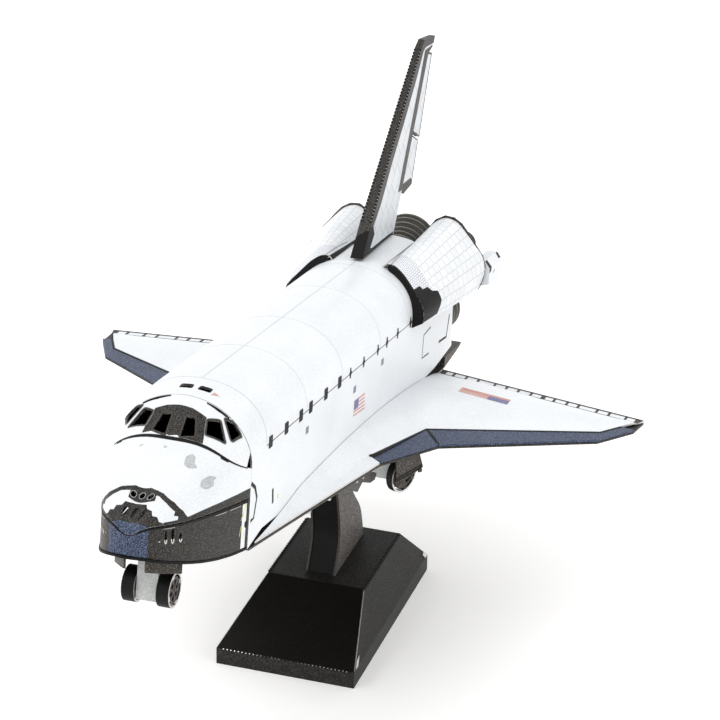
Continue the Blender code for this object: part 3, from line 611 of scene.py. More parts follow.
halfRing = [(0.11, 0.51), (0.30, 0.43), (0.46, 0.305), (0.56, 0.17), (0.61, 0.05)]
halfRingIn = [(0.53, 0.04), (0.53, 0.10), (0.49, 0.12), (0.49, 0.18), (0.46, 0.215), (0.38, 0.305),
              (0.27, 0.395), (0.11, 0.462)]
ringOutline = mirrored(halfRing) + halfRing + halfRingIn + mirrored(halfRingIn)
halfSteps = [(0.05, 0.345), (0.15, 0.32), (0.175, 0.265), (0.25, 0.22), (0.27, 0.155), (0.33, 0.13),
             (0.36, 0.06), (0.40, 0.035), (0.40, 0.002)]
holeBlock = [(-0.15, 0.475), (0.22, 0.47), (0.235, 0.345), (-0.14, 0.375)]
paintLine = [(0.40, 0.002), (0.41, 0.04), (0.53, 0.045), (0.62, 0.06), (0.70, 0.10), (0.83, 0.16),
             (0.93, 0.23), (0.998, 0.31), (0.998, 0.002)]
capShares = [k / nose["capSteps"] for k in range(nose["capSteps"], -nose["capSteps"] - 1, -1)]
capOutline = [(nose["capHalf"] * k, max(0.004, nose["capHeight"] * (1 - k ** 2))) for k in capShares]

bendPiece("nose_shell_sheet", panel(-1, 0, 1, 1), noseShell, "whitePrint", ("nose_shell",),
          holes=roundHoles + slantedHoles, grid=shellGrid)
onShell("nose_thruster_ring", [ringOutline, (holeBlock, roundHoles)] + bothSides([paintLine])
        + [(halfSteps + mirrored(halfSteps), slantedHoles)], "charcoalPrint")
onShell("nose_cap_print", [capOutline], "blueGreyPrint", 2)
onShell("nose_hole_rims", [(outset(hole, nose["rim"], nose["holeScale"]), [hole]) for hole in roundHoles],
        "greyPrint", 2)
smudges = [[(0.33, 0.85), (0.36, 0.76), (0.44, 0.73), (0.53, 0.745), (0.50, 0.78), (0.47, 0.79), (0.45, 0.86),
            (0.39, 0.89)],
           [(0.62, 0.60), (0.64, 0.50), (0.70, 0.46), (0.75, 0.52), (0.73, 0.60), (0.75, 0.67), (0.68, 0.68)]]
onShell("nose_smudges", [rounded(smudge, 0.3, nose["smudgeScale"]) for smudge in smudges], "smudgePrint")
dots = [oval(u, v, 0.012, 0.009, count=8)
        for u, v in ((-0.35, 0.88), (-0.33, 0.89), (-0.02, 0.91), (0.0, 0.91))]
onShell("nose_dots", dots, "smudgePrint", slot="charcoal_sheet")
topSeam = [stroke([(k / 20 * 0.97, 0.988) for k in range(-20, 21)], 0.16, (8, 12))]
topSeam += bothSides([[(0.70, 0.99), (0.715, 0.955), (0.80, 0.955), (0.81, 0.99)]])
onShell("nose_top_seam", topSeam, "blackPrint", 2)

bandSlots = [oval(side * u, *rest) for side, name in sides for u, *rest in nose["slots"]]
bendPiece("nose_band_sheet", panel(-1, 0, 1, 1), noseBand, "charcoalPrint", ("nose_band",), holes=bandSlots,
          grid=bandGrid)
onBand("nose_band_cap", [panel(-0.30, 0.005, 0.26, 0.995)], "blueGreyPrint")
# Bare steel along the lower edge of each slot only: a painted highlight where the cut edge is lit from above.
slotRimHighlights = []
for hole in bandSlots:
    middle = sum(v for u, v in hole) / len(hole)
    slotRimHighlights.append(stroke(sorted(p for p in hole if p[1] < middle - 0.02), 0.06, nose["slotScale"]))
onBand("nose_slot_rims", slotRimHighlights, "cutSteel", 2)
endStrip = [(0.962, 0.02), (0.984, 0.02), (0.984, 0.42), (0.976, 0.46), (0.976, 0.54), (0.984, 0.58),
            (0.984, 0.94), (0.962, 0.94)]
onBand("nose_band_ends", bothSides([endStrip]), "whitePrint")
endLine = [(0.9865, 0.0), (0.9865, 0.45), (0.991, 0.5), (0.9865, 0.55), (0.9865, 1.0)]
onBand("nose_band_lines", bothSides([stroke(endLine, 0.09, nose["endScale"])]), "blackPrint", 2)
# A black line along the top of the band, under the gap to the shell: painted shade, widening the dark of the
# gap.
lowSeamShade = [stroke([(0.11 + 0.87 * k / 16, 0.972) for k in range(17)], 0.12, nose["seamScale"])]
onBand("nose_low_seam", bothSides(lowSeamShade), "blackPrint", 2)
# Short bare-steel strokes just under the top of the band: a painted highlight for the lit cut edge of the
# band.
cutEdgeHighlight = [stroke([(start + length * k / 4, 0.93) for k in range(5)], 0.025, nose["seamScale"])
           for start, length in ((0.41, 0.10), (0.80, 0.07), (0.89, 0.06))]
onBand("nose_cut_line", bothSides(cutEdgeHighlight), "cutSteel", 2)
limes = [stroke([(0.955, 0.62), (0.975, 0.86)], 0.04, nose["endScale"]), block(0.978, 0.90, 0.004, 0.035),
         stroke([(0.951, 0.30), (0.958, 0.50)], 0.04, nose["endScale"]), block(0.968, 0.72, 0.003, 0.03),
         stroke([(0.972, 0.20), (0.974, 0.36)], 0.035, nose["endScale"])]
onBand("nose_lime_marks", bothSides(limes), "limePrint", 2)
print("nose made")


# Canopy: six windows cut through, the dark centre panel and the seams round it

canopy = {"rim": 0.27, "lip": 0.04, "round": 0.18, "grid": (0.04, 0.25), "scale": (11, 6),
          "roundScale": (10, 6)}
portWindows = [[(0.11, 0.045), (0.30, 0.13), (0.23, 0.54), (0.11, 0.53)],
               [(0.44, 0.27), (0.69, 0.35), (0.55, 0.74), (0.40, 0.60)],
               [(0.755, 0.53), (0.825, 0.90), (0.71, 0.96), (0.60, 0.87)]]
windows = bothSides([rounded(w, canopy["round"], canopy["roundScale"]) for w in portWindows])
rims = [outset(w, canopy["rim"], canopy["scale"]) for w in windows]
centrePanel = [(-0.44, 0.05), (-0.42, 0.39), (-0.38, 0.68), (-0.22, 0.74), (-0.03, 0.76), (0.15, 0.74),
               (0.37, 0.65), (0.40, 0.42), (0.44, 0.03), (0.41, 0.022), (0.23, 0.10), (0.12, 0.022),
               (0.06, 0.07), (-0.05, 0.03), (-0.14, 0.08), (-0.20, 0.03), (-0.32, 0.09)]
bendPiece("canopy_sheet", panel(-0.965, 0.02, 0.965, 1), canopyShell, "whitePrint", ("canopy",),
          holes=windows, grid=canopy["grid"])
onCanopy = printer(canopyShell, grid=canopy["grid"])
onCanopy("canopy_centre_panel", [(centrePanel, [windows[0], windows[3]])], "charcoalPrint")
innerWindows, outerWindows = (0, 3), (1, 2, 4, 5)
onCanopy("canopy_window_rims", [(rims[k], [windows[k]]) for k in outerWindows], "rimPrint")
onCanopy("canopy_inner_rims", [(rims[k], [windows[k]]) for k in innerWindows], "rimPrint", 2)
lips = [(outset(windows[k], canopy["rim"] + canopy["lip"], canopy["scale"]), [rims[k]]) for k in outerWindows]
onCanopy("canopy_window_lips", lips, "smudgePrint", 2, "grey_sheet")
topSlots = [[(-0.61, 0.93), (-0.40, 0.925), (-0.21, 0.955), (-0.21, 0.985), (-0.61, 0.985)],
            [(0.31, 0.955), (0.48, 0.925), (0.64, 0.93), (0.64, 0.985), (0.31, 0.985)]]
onCanopy("canopy_slots", topSlots, "blackPrint", 2)
print("canopy made")


# Fuselage tube: doors, hatches and lines printed on the side panels, hinge marks along the sills

tube = {"step": 0.545, "hingeV": 10.9, "squareHinges": (28.8, 34.2, 39.3, 42.8, 48.4, 53.6),
        "crossHinges": (57.8, 63.1, 68.9, 72.7, 77.3, 82.9, 85.5),
        "squares": ((42.0, 13.4), (60.05, 13.5), (71.3, 13.0)),
        "arcs": ((41.4, 0.045), (54.7, 0.045), (69.9, 0.045), (81.8, 0.045), (27.5, 0.07))}
tubeGrid = dict(facing=-1, grid=(8, tube["step"]), folds=(((27.5, 0), (27.5, 1)), ((50, 0), (50, 1))))
onTube = printer(fuselage, **tubeGrid)
sillV = body["archRun"] + body["podSill"]
lowEdge = [(y, body["archRun"] + archSize(y)[0] - z) for y, z in
           ((104.4, 24.6), (96.3, 23.5), (60, body["sideBottom"]), (noseEnd + seamGap, body["sideBottom"]))]
halfTube = [(body["deckEnd"], deckV), (body["podStart"], deckV), (body["podStart"], sillV),
            (body["stern"], sillV)]
tubeOutline = halfTube + lowEdge + mirrored(halfTube + lowEdge, 1)
roofWindows = [rounded([(24.7, -1.24), (25.5, -1.20), (25.5, -0.18), (24.7, -0.14)], 0.12),
               rounded([(24.7, 0.57), (25.5, 0.61), (25.5, 1.65), (24.7, 1.69)], 0.12)]
bendPiece("fuselage_sheet", tubeOutline, fuselage, "whitePrint", ("fuselage_skin",), holes=roofWindows,
          **tubeGrid)
sideLines = [stroke([(93.0, 13.95), (89.9, 14.3), (89.8, 17.4), (92.9, 17.5)], 0.10),
             stroke([(102.1, 14.5), (101.3, 17.4), (97.7, 17.2)], 0.18),
             stroke([(22.95, 12.8), (24.3, 14.0), (25.1, 15.6), (24.4, 17.6), (23.4, 17.4)], 0.2),
             stroke([(30.6, 16.9), (30.9, 18.7)], 0.24)]
sideSquares = [block(y, v, 0.5, 0.42) for y, v in tube["squares"]]
hingeMarks = [(rounded(block(y, tube["hingeV"], 0.62, 0.66), 0.2),
               [oval(y, v, 0.09, 0.09, count=8) for v in (10.62, 11.2)]) for y in tube["squareHinges"]]
halfCross = [(0.2, -0.6), (0.2, -0.2), (0.42, -0.17), (0.42, 0.17), (0.2, 0.2), (0.2, 0.6)]
hingeMarks += [[(y + u, tube["hingeV"] + v) for u, v in halfCross + mirrored(halfCross)]
               for y in tube["crossHinges"]]
onTube("side_lines", bothSides(sideLines, 1), "blackPrint")
onTube("side_squares", bothSides(sideSquares, 1), "mauvePrint")
onTube("side_yellow_marks", bothSides([block(32.6, 18.4, 0.16, 0.28)], 1), "limePrint")
onTube("door_hinges", bothSides(hingeMarks, 1), "blackPrint", 2)
doorLines = [stroke([(y, tube["step"] * k) for k in range(-20, 21)], half) for y, half in tube["arcs"]]
for y in (86.5, 87.8):
    doorLines += bothSides([stroke([(y, tube["step"] * k) for k in range(8, 21)], 0.045)], 1)
doorLines.append(stroke([(27.6, 0.0), (86.0, 0.0)], 0.045))
onTube("door_seams", bothSides([stroke([(noseEnd + 4.7, 10.95), (87.9, 10.95)], 0.05)], 1), "rimPrint")
onTube("door_lines", doorLines, "linePrint")
onTube("roof_window_rims", [(outset(w, 0.1), [w]) for w in roofWindows], "blackPrint")
onTube("rescue_arrow", [[(24.3, 1.95), (24.75, 2.75), (25.05, 2.1)]], "redPrint")
sideFlag = [(64.3, 15.1), (60.2, 15.0), (60.3, 17.2), (64.9, 17.5)]
onTube("side_flag_ground", bothSides([sideFlag], 1), "whitePrint")
flagStripes = [[(64.35 + 0.1 * k, 15.1 + 0.48 * k), (60.25, 15.0 + 0.44 * k), (60.25, 15.22 + 0.44 * k),
                (64.4 + 0.1 * k, 15.34 + 0.48 * k)] for k in range(5)]
onTube("side_flag_stripes", bothSides(flagStripes, 1), "redPrint", 2)
flagCorner = [(61.9, 15.05), (60.25, 15.0), (60.3, 16.2), (61.9, 16.25)]
onTube("side_flag_corner", bothSides([flagCorner], 1), "bluePrint", 3)
print("fuselage made")


# Wings: skins, edge strips, the ladder band at the back and the flag patch

rootX, tipX, flange = wing["rootX"], wing["tipRear"][0], wing["flange"]
lipX = gloveLine(wing["gloveEnd"][1]) - wing["lip"]
lipShare = (rootX + wing["lip"] + wing["inset"] - wing["gloveStart"][0]) / (
    wing["gloveEnd"][0] - wing["gloveStart"][0])
lipY = lerp(wing["gloveStart"][1], wing["gloveEnd"][1], lipShare)
skinGrid = dict(grid=(1.5, 3.0), straight=Vector((0, 0, 1)),
                folds=(((rootX, lipY), (lipX, wing["gloveEnd"][1])),
                       ((rootX, trailing(rootX, flange)), (tipX, trailing(tipX, flange)))))
skinOutline = [(rootX, wing["rootStart"]), (gloveLine(59.0), 59.0), *stripInner, wing["tipRear"],
               (rootX, wing["rootEnd"])]
ladder = {"outer": 0.24, "inner": 0.10, "rung": 0.17, "wideRung": 22.95, "wider": 1.8,
          "rungs": (10.1, 11.9, 13.6, 16.0, 17.7, 19.4, 21.2, 22.95, 24.5, 26.3, 27.9, 30.5, 32.2, 34.5)}


def fromTrailing(*places):
    # Points at x, each so far before the wing's trailing edge
    return [(x, trailing(x, before)) for x, before in places]


ladderLines = [stroke(fromTrailing((8.2, 0.2), (36.6, 0.2)), ladder["outer"]),
               stroke(fromTrailing((9.0, flange), (35.8, flange)), ladder["inner"])]
for x in ladder["rungs"]:
    half = ladder["rung"] * (ladder["wider"] if x == ladder["wideRung"] else 1)
    ladderLines.append(block(x, trailing(x, flange / 2), half, flange / 2))
ladderLines.append(fromTrailing((8.2, flange + 0.2), (9.0, flange + 0.2), (9.0, 0.1), (8.2, 0.1)))
ladderLines.append(fromTrailing((35.75, flange + 0.3), (36.15, flange + 0.7))
                   + [(36.75, trailing(36.7, 0.1))] + fromTrailing((35.75, 0.1)))
flagRows = [panel(14.05, y, 20.55, y + 0.19) for y in [lerp(86.42, 88.72, k / 7) for k in range(7)]]
edgeDark = [stroke([(x + 0.07, y - 0.28) for x, y in stripInner], 0.15),
            stroke([(13.95, 73.0), (16.3, 69.95)], 0.17)]
for side, name in sides:
    bendPiece("wing_sheet_" + name, skinOutline, wingSkin(side), "whitePrint", ("wing_skin_" + name,),
              **skinGrid)
    printer(wingSkin(side), **skinGrid)("wing_ladder_" + name, ladderLines, "charcoalPrint")
    printer(edgeStrip(side), **skinGrid)("wing_strip_line_" + name, edgeDark, "blackPrint")
onPortWing = printer(wingSkin(1), **skinGrid)
onPortWing("wing_flag_stripes", flagRows, "redPrint")
onPortWing("wing_flag_corner", [[(17.9, 86.4), (20.6, 86.4), (20.55, 87.75), (17.9, 87.75)]], "bluePrint", 2)
print("wings made")


# Geometry Nodes: a row of small blocks between two places, for the perforations and their glints

def rowTree():
    tree = bpy.data.node_groups.new("rowOfMarks", "GeometryNodeTree")
    for name, kind in (("Geometry", "Geometry"), ("Start", "Vector"), ("End", "Vector"), ("Facing", "Vector"),
                       ("Size", "Vector"), ("Count", "Int"), ("Finish", "Material")):
        tree.interface.new_socket(name, in_out="INPUT", socket_type="NodeSocket" + kind)
    tree.interface.new_socket("Geometry", in_out="OUTPUT", socket_type="NodeSocketGeometry")
    given = addNode(tree, "NodeGroupInput").outputs
    line = addNode(tree, "GeometryNodeMeshLine", mode="END_POINTS")
    feed(line, {"Count": given["Count"], "Start Location": given["Start"], "Offset": given["End"]})
    span = addNode(tree, "ShaderNodeVectorMath", {0: given["End"], 1: given["Start"]}, operation="SUBTRACT")
    first = addNode(tree, "FunctionNodeAlignRotationToVector", {"Vector": span.outputs[0]}, axis="X")
    second = addNode(tree, "FunctionNodeAlignRotationToVector",
                     {"Rotation": first.outputs[0], "Vector": given["Facing"]}, axis="Z", pivot_axis="X")
    mark = addNode(tree, "GeometryNodeMeshCube", {"Size": given["Size"]})
    place = addNode(tree, "GeometryNodeInstanceOnPoints", {
        "Points": line.outputs["Mesh"], "Instance": mark.outputs["Mesh"], "Rotation": second.outputs[0]})
    real = addNode(tree, "GeometryNodeRealizeInstances", {0: place.outputs[0]})
    painted = addNode(tree, "GeometryNodeSetMaterial", {0: real.outputs[0], "Material": given["Finish"]})
    addNode(tree, "NodeGroupOutput", {0: painted.outputs[0]})
    return tree


marksTree = rowTree()


def grown(tree, values):
    # Run a node tree on an empty mesh with its inputs set, and give back the plain mesh.
    seed = bpy.data.objects.new("seed", bpy.data.meshes.new("seed"))
    bpy.context.scene.collection.objects.link(seed)
    modifier = seed.modifiers.new("rows", "NODES")
    modifier.node_group = tree
    for item in tree.interface.items_tree:
        if item.in_out == "INPUT" and item.name in values:
            modifier[item.identifier] = values[item.name]
    seed.update_tag()
    graph = bpy.context.evaluated_depsgraph_get()
    mesh = bpy.data.meshes.new_from_object(seed.evaluated_get(graph))
    seed.modifiers.remove(modifier)
    bpy.data.objects.remove(seed)
    return mesh


def rowPiece(name, rows, finish):
    # Several rows of marks as one piece: start, end, facing, count and size of each, in metres.
    solid = bmesh.new()
    for start, end, facing, count, size in rows:
        mesh = grown(marksTree, {"Start": start, "End": end, "Facing": facing, "Count": count,
                                 "Size": Vector(size) * mm, "Finish": made[finish]})
        solid.from_mesh(mesh)
        bpy.data.meshes.remove(mesh)
    for face in solid.faces:
        face.material_index = 0
    finishPiece(name, solid, (finish,), smooth=False)


# Pods: tiled shells with their dark front band, end plates and thruster pods

podGrid, podScale = (0.1, 1 / 28), (18.8, 15)
podPatches = {"port": [(0.0, 0.59), (0.09, 0.60), (0.10, 0.655), (0.16, 0.665), (0.18, 0.735), (0.245, 0.77),
                       (0.26, 0.86), (0.23, 0.97), (0.0, 0.99)],
              "starboard": [(0.0, 0.80), (0.12, 0.82), (0.17, 0.90), (0.15, 0.99), (0.0, 0.99)]}
podEdging = [(0.0, 0.0), (0.012, 0.0), (0.014, 1.0), (0.0, 1.0)]
podLook = {"roofLine": 0.045, "flangeThick": 0.25, "flangeFoot": (3.6, 11.8), "flangeAhead": 0.2,
           "deckThick": 0.15, "deckLift": 0.03}


def podFlange(side):
    # From the pod's front edge down to the skin of the fuselage
    edge = podShell(side)

    def place(v, t):
        y = lerp(pod["innerY"], pod["outerY"], t) - podLook["flangeAhead"]
        foot = fuselage(y, side * lerp(*podLook["flangeFoot"], t))
        return edge(0, t).lerp(foot, v)
    return place


def podDeck(side):
    # From the foot of the pod's inner wall over to the deck
    edge = podShell(side)

    def place(u, v):
        top = edge(u, 0.0)
        return top.lerp(fuselage(top.y, side * deckV) + Vector((0, 0, podLook["deckLift"])), v)
    return place


def thrusterSide(side):
    return lambda y, z: Vector((side * thruster["side"], y, z))


def thrusterChamfer(side):
    return lambda y, v: Vector((side * lerp(thruster["side"], thruster["chamfer"], v), y,
                                lerp(thruster["low"], thruster["high"], v)))


thruster = {"side": 12.6, "chamfer": 11.9, "low": 36.1, "high": 37.0,
            "sideMarks": [[(103.62, 35.5), (104.5, 35.6), (104.4, 36.1), (103.62, 36.1)],
                          block(105.6, 35.2, 0.1, 0.12), block(106.1, 35.3, 0.1, 0.12)],
            "chamferMarks": [[(103.62, 0.0), (104.6, 0.0), (104.4, 1.0), (103.62, 1.0)],
                             [(108.7, 0.3), (109.65, 0.2), (109.65, 1.0), (108.9, 1.0)]]}
for side, name in sides:
    shell = podShell(side)
    onPod = printer(shell, facing=-side, grid=podGrid)
    bendPiece("pod_sheet_" + name, [(0, 0), (0, 1), (1, 1), (1, 0)], shell, "podTiles",
              ("pod_shell_" + name,), facing=-side, grid=podGrid, uvScale=podScale)
    onPod("pod_band_" + name, [podEdging, podPatches[name]], "blackPrint")
    bendPiece("pod_flange_" + name, panel(0, 0, 1, 1), podFlange(side), "blackPrint", facing=side,
              grid=(0.5, 1 / 14), thick=podLook["flangeThick"])
    bendPiece("pod_deck_" + name, panel(0, 0, 0.77, 1), podDeck(side), "whitePrint", facing=-side,
              grid=(0.1, 0.5), thick=podLook["deckThick"])
    roofLine = stroke([(0.01, 0.075), (0.2, 0.07), (0.42, 0.045)], podLook["roofLine"], podScale)
    onPod("pod_roof_line_" + name, [roofLine], "blackPrint")
for side, name in sides:
    solid = bmesh.new()
    addInk(solid, thruster["sideMarks"], thrusterSide(side), facing=side)
    addInk(solid, thruster["chamferMarks"], thrusterChamfer(side), facing=side)
    finishPiece("thruster_marks_" + name, solid, ("blackPrint",))
print("pods made")


# Fin and rudder: two side sheets, a folded front and top, the dark band with its perforations, the leaves

finGrid = dict(grid=(1.5, 0), folds=(((86.6, 43.9), (110.0, 43.9)),))
topLine = ((105.4, 63.9), (106.75, 64.8), (111.8, 64.6))
finOutline = [(83.8, 40.1), (86.6, 43.9), *topLine, (111.5, 63.7), (109.1, 62.96), (101.4, 45.45),
              (98.9, 40.1)]
bandWidths = ((46.0, 2.6), (51.0, 2.1), (55.0, 2.35), (60.0, 2.2), (63.3, 1.7))
perforation = {"count": 52, "size": (0.27, 0.24, 0.07), "glint": (0.10, 0.09, 0.07), "from": 44.3, "to": 63.6,
               "across": 0.86}


def finNose(s, z):
    return Vector((s * finHalf(z), finFront(z), z))


def finTop(s, t):
    # Over the chamfer and back along the top: t is 0 to 1 on the chamfer and 1 to 2 on the top
    i = min(1, int(clamp01(t / 2) * 2))
    y, z = [lerp(p, q, t - i) for p, q in zip(topLine[i], topLine[i + 1])]
    return Vector((s * finFace(1)(y, z).x, y, z))


solid = bmesh.new()
for side, name in sides:
    addSheet(solid, finOutline, finFace(side), facing=side, **finGrid)
addSheet(solid, panel(-1, 40.1, 1, 63.95), finNose, slots=(3, 1, 2), folds=(((-1, 43.9), (1, 43.9)),))
addSheet(solid, panel(-1.02, 0, 1.02, 2), finTop, grid=(0, 1), slots=(3, 1, 3))
# The backs of the fin's sheets take black: painted shade for the inside of the fin.
finishPiece("fin_sheet", solid, ("finTiles", "blackPrint", "rimPrint", "charcoalPrint"), ("fin",))
leaves = {"lower": [(101.5, 45.4), (102.5, 44.8), (106.1, 45.4), (107.6, 51.1), (104.6, 52.3)],
          "upper": [(104.75, 52.75), (108.1, 51.45), (111.0, 62.4), (109.1, 62.8)]}
for part, leaf in leaves.items():
    solid = bmesh.new()
    for side, name in sides:
        addSheet(solid, leaf, rudderFace(side), facing=side, thick=0.22, grid=finGrid["grid"])
    # The backs of the leaves take black: painted shade.
    finishPiece("rudder_sheet_" + part, solid, ("finTiles", "blackPrint", "rimPrint"), ("rudder_" + part,))
boot = [(83.83, 40.12), (86.55, 43.8), (88.1, 43.5), (89.0, 42.3), (87.4, 40.85), (88.2, 40.6), (98.7, 40.5),
        (98.6, 40.12)]
bandOutline = [(finFront(43.8) + 0.03, 43.8), (105.42, 63.85), (106.75, 64.76), (111.72, 64.56),
               (111.45, 63.68), (107.6, 63.7)]
bandOutline += [(finFront(z) + width, z) for z, width in reversed(bandWidths)] + [(88.1, 43.5)]
frameLine = [(99.6, 45.6), (101.4, 45.5), (108.95, 62.6), (110.9, 63.25), (110.9, 63.5), (107.3, 63.3)]
leafLines = {"lower": [[(101.5, 45.4), (102.5, 44.8), (106.1, 45.4), (106.25, 45.95), (105.3, 46.4),
                        (101.9, 46.25)],
                       stroke([(106.1, 45.8), (107.5, 51.0)], 0.1),
                       stroke([(104.7, 52.2), (107.5, 51.15)], 0.08)],
             "upper": [stroke([(108.05, 51.6), (110.9, 62.3)], 0.13),
                       stroke([(109.1, 62.65), (110.9, 62.3)], 0.14),
                       stroke([(104.9, 52.8), (108.0, 51.6)], 0.08)]}
bootFront = [(-1.0, 40.15), (1.0, 40.15), (1.0, 43.3), (0.6, 43.3), (-1.0, 42.5)]
printer(finNose)("fin_boot_front", [bootFront], "blackPrint")
for side, name in sides:
    onFin = printer(finFace(side), facing=side, **finGrid)
    onFin("fin_band_" + name, [bandOutline], "charcoalPrint")
    onFin("fin_boot_" + name, [boot], "blackPrint")
    onFin("fin_frame_" + name, [frameLine], "charcoalPrint")
    onLeaf = printer(rudderFace(side), facing=side, grid=finGrid["grid"])
    for part, shapes in leafLines.items():
        onLeaf("rudder_line_%s_%s" % (part, name), shapes, "charcoalPrint")
dotRows, glintRows = [], []
facing = toWorld(Vector((0, -1, 0.94))) - toWorld(Vector((0, 0, 0)))
count = perforation["count"]
for side, name in sides:
    start, end = [finNose(side * perforation["across"], perforation[key]) + Vector((0, -0.02, 0.02))
                  for key in ("from", "to")]
    dotRows.append((toWorld(start), toWorld(end), facing, count, perforation["size"]))
    between = (end - start) / (count - 1) / 2
    glintRows.append((toWorld(start + between), toWorld(end - between), facing, count - 1,
                      perforation["glint"]))
# The perforations are black blocks: painted shade for the dark seen through each hole.
rowPiece("fin_perforations", dotRows, "blackPrint")
rowPiece("fin_glints", glintRows, "cutSteel")
print("fin made")


# Wheels: a strip of tread round two discs, with spokes cut out and bright tabs

wheel = {"slit": 0.12, "disc": 0.88, "spokes": 6, "spokeHalf": 0.62, "tabs": 4, "tabAt": 0.92,
         "tabHalf": (0.30, 0.12)}
noseGear = {"x": 2.0, "shift": 0.25, "y": 14.3, "z": 19.4, "radius": 1.75, "width": 1.45, "turn": 0,
            "edge": "cutSteel"}
mainGear = {"x": 13.15, "shift": 0, "y": 65.4, "z": 19.1, "radius": 2.15, "width": 0.95, "turn": 22,
            "edge": "rimPrint"}


def wheelPlane(x, centre, spot=(0, 0), angle=0.0):
    # An upright plane at x, its middle at a spot by the wheel's centre, turned by an angle
    def place(a, b):
        return Vector((x, centre[1] + spot[0] + b * math.cos(angle) - a * math.sin(angle),
                       centre[2] + spot[1] + a * math.cos(angle) + b * math.sin(angle)))
    return place


def addWheel(part, side, name, gear):
    solid = bmesh.new()
    centre = (side * gear["x"] + gear["shift"], gear["y"], gear["z"])
    radius, half = gear["radius"], gear["width"] / 2

    def tread(u, v):
        angle = u / radius - math.pi / 2
        return Vector((centre[0] + v, centre[1] + radius * math.cos(angle),
                       centre[2] + radius * math.sin(angle)))
    strip = panel(wheel["slit"], -half, 2 * math.pi * radius - wheel["slit"], half)
    addSheet(solid, strip, tread, facing=-1, grid=(0.35, 0))
    holes = [oval(0, 0, 0.11 * radius, 0.11 * radius, count=12)]
    for k in range(wheel["spokes"]):
        middle = 2 * math.pi * (k + 0.25) / wheel["spokes"]
        wide = math.pi / wheel["spokes"] * wheel["spokeHalf"]
        ring = ((0.28, -wide), (0.66, -wide), (0.70, 0), (0.66, wide), (0.28, wide))
        holes.append([(radius * r * math.sin(middle + a), radius * r * math.cos(middle + a))
                      for r, a in ring])
    rim = oval(0, 0, wheel["disc"] * radius, wheel["disc"] * radius, count=40)
    for out in (1, -1):
        straight = Vector((out, 0, 0))
        addSheet(solid, rim, wheelPlane(centre[0] + out * (half - 0.08), centre), holes, straight=straight,
                 slots=(3, 1, 4), thick=0.2)
        for k in range(wheel["tabs"]):
            angle = math.radians(20 + 360 / wheel["tabs"] * k)
            spot = [wheel["tabAt"] * radius * share for share in (math.cos(angle), math.sin(angle))]
            addSheet(solid, rounded(block(0, 0, *wheel["tabHalf"]), 0.08),
                     wheelPlane(centre[0] + out * (half - 0.02), centre, spot, angle), straight=straight,
                     slots=(4, 4, 4), thick=0.14)
    bmesh.ops.rotate(solid, verts=solid.verts, cent=toWorld(centre),
                     matrix=Matrix.Rotation(-side * math.radians(gear["turn"]), 3, "Z"))
    # Slot 0 is the black tread; slot 1, the backs of tread and discs, is black as painted shade inside the
    # wheel.
    finishPiece("%s_wheel_disc_%s" % (part, name), solid,
                ("blackPrint", "blackPrint", "cutSteel", "brownGreyPrint", gear["edge"]),
                ("%s_wheel_%s" % (part, name),))


for side, name in sides:
    addWheel("nose", side, name, noseGear)
    addWheel("main", side, name, mainGear)


def mainDoor(side):
    # The outer face of the main gear's door, turned with its wheel
    hub = Vector((side * mainGear["x"], mainGear["y"], mainGear["z"]))
    turn = Matrix.Rotation(-side * math.radians(mainGear["turn"]), 3, "Z")
    return lambda y, z: hub + turn @ Vector((side * doorLook["out"], y - hub.y, z - hub.z))


doorLook = {"out": 0.845, "top": 21.3, "lines": (((63.6, 2.25), (68.3, 1.5)), ((63.6, 2.6), (68.4, 1.8))),
            "half": 0.09, "knobs": ((64.2, 3.15), (66.3, 2.75), (67.9, 2.15)), "knobHalf": (0.3, 0.22)}
for side, name in sides:
    marks = bmesh.new()
    for ends in doorLook["lines"]:
        line = stroke([(y, doorLook["top"] - depth) for y, depth in ends], doorLook["half"])
        addSheet(marks, line, mainDoor(side), facing=side, thick=0.05, lift=0.04, slots=(0, 0, 0))
    for y, depth in doorLook["knobs"]:
        knob = rounded(block(y, doorLook["top"] - depth, *doorLook["knobHalf"]), 0.1)
        addSheet(marks, knob, mainDoor(side), facing=side, thick=0.2, lift=0.16, slots=(1, 1, 1))
    finishPiece("main_door_lines_" + name, marks, ("blackPrint", "brownGreyPrint"))
bellyTab = {"places": ((39.6, 0.9), (45.2, 0.5), (52.8, 0.5), (54.6, 0.35)), "inset": 0.5, "width": 0.45,
            "thick": 0.3}


def underPlate(side):
    return lambda u, v: Vector((side * u, v, plateHeight(side * u) - sheet["thick"]))


tabs = bmesh.new()
for side, name in sides:
    for y, length in bellyTab["places"]:
        x = gloveLine(y) - bellyTab["inset"]
        addSheet(tabs, panel(x, y - length / 2, x + bellyTab["width"], y + length / 2), underPlate(side),
                 straight=Vector((0, 0, 1)), thick=bellyTab["thick"], lift=-0.01, slots=(0, 0, 0))
finishPiece("belly_tabs", tabs, ("cutSteel",))
print("wheels made")


# Engine bells and nozzles: a thin turned wall with light rings round it

bells = {"profile": ((1.1, 0), (2.1, 1.6), (3.0, 4.2), (3.6, 7.8)), "hoops": 12, "wire": 0.09,
         "startY": 101.0,
         "places": (("top", 0, 35.4, 16), ("port", 4.1, 27.3, 10), ("starboard", -4.1, 27.3, 10))}
nozzle = {"profile": ((0.8, 0), (1.1, 1.2), (1.45, 2.9), (1.7, 4.4)), "hoops": 7, "wire": 0.07,
          "place": (7.6, 103.73, 37.2), "tilt": 0.2}
bellWall, bellSides = 0.25, 36


def addTurned(solid, section, inks, place, turn):
    # A closed section of radius and distance, turned round an axis that points aft and up
    rings = []
    for radius, distance in section:
        rings.append([])
        for k in range(bellSides):
            angle = 2 * math.pi * k / bellSides
            point = turn @ Vector((radius * math.cos(angle), distance, radius * math.sin(angle)))
            rings[-1].append(solid.verts.new(toWorld(point + Vector(place))))
    for ring, after, index in zip(rings, rings[1:] + rings[:1], inks):
        for k in range(bellSides):
            j = (k + 1) % bellSides
            solid.faces.new((ring[k], ring[j], after[j], after[k])).material_index = index


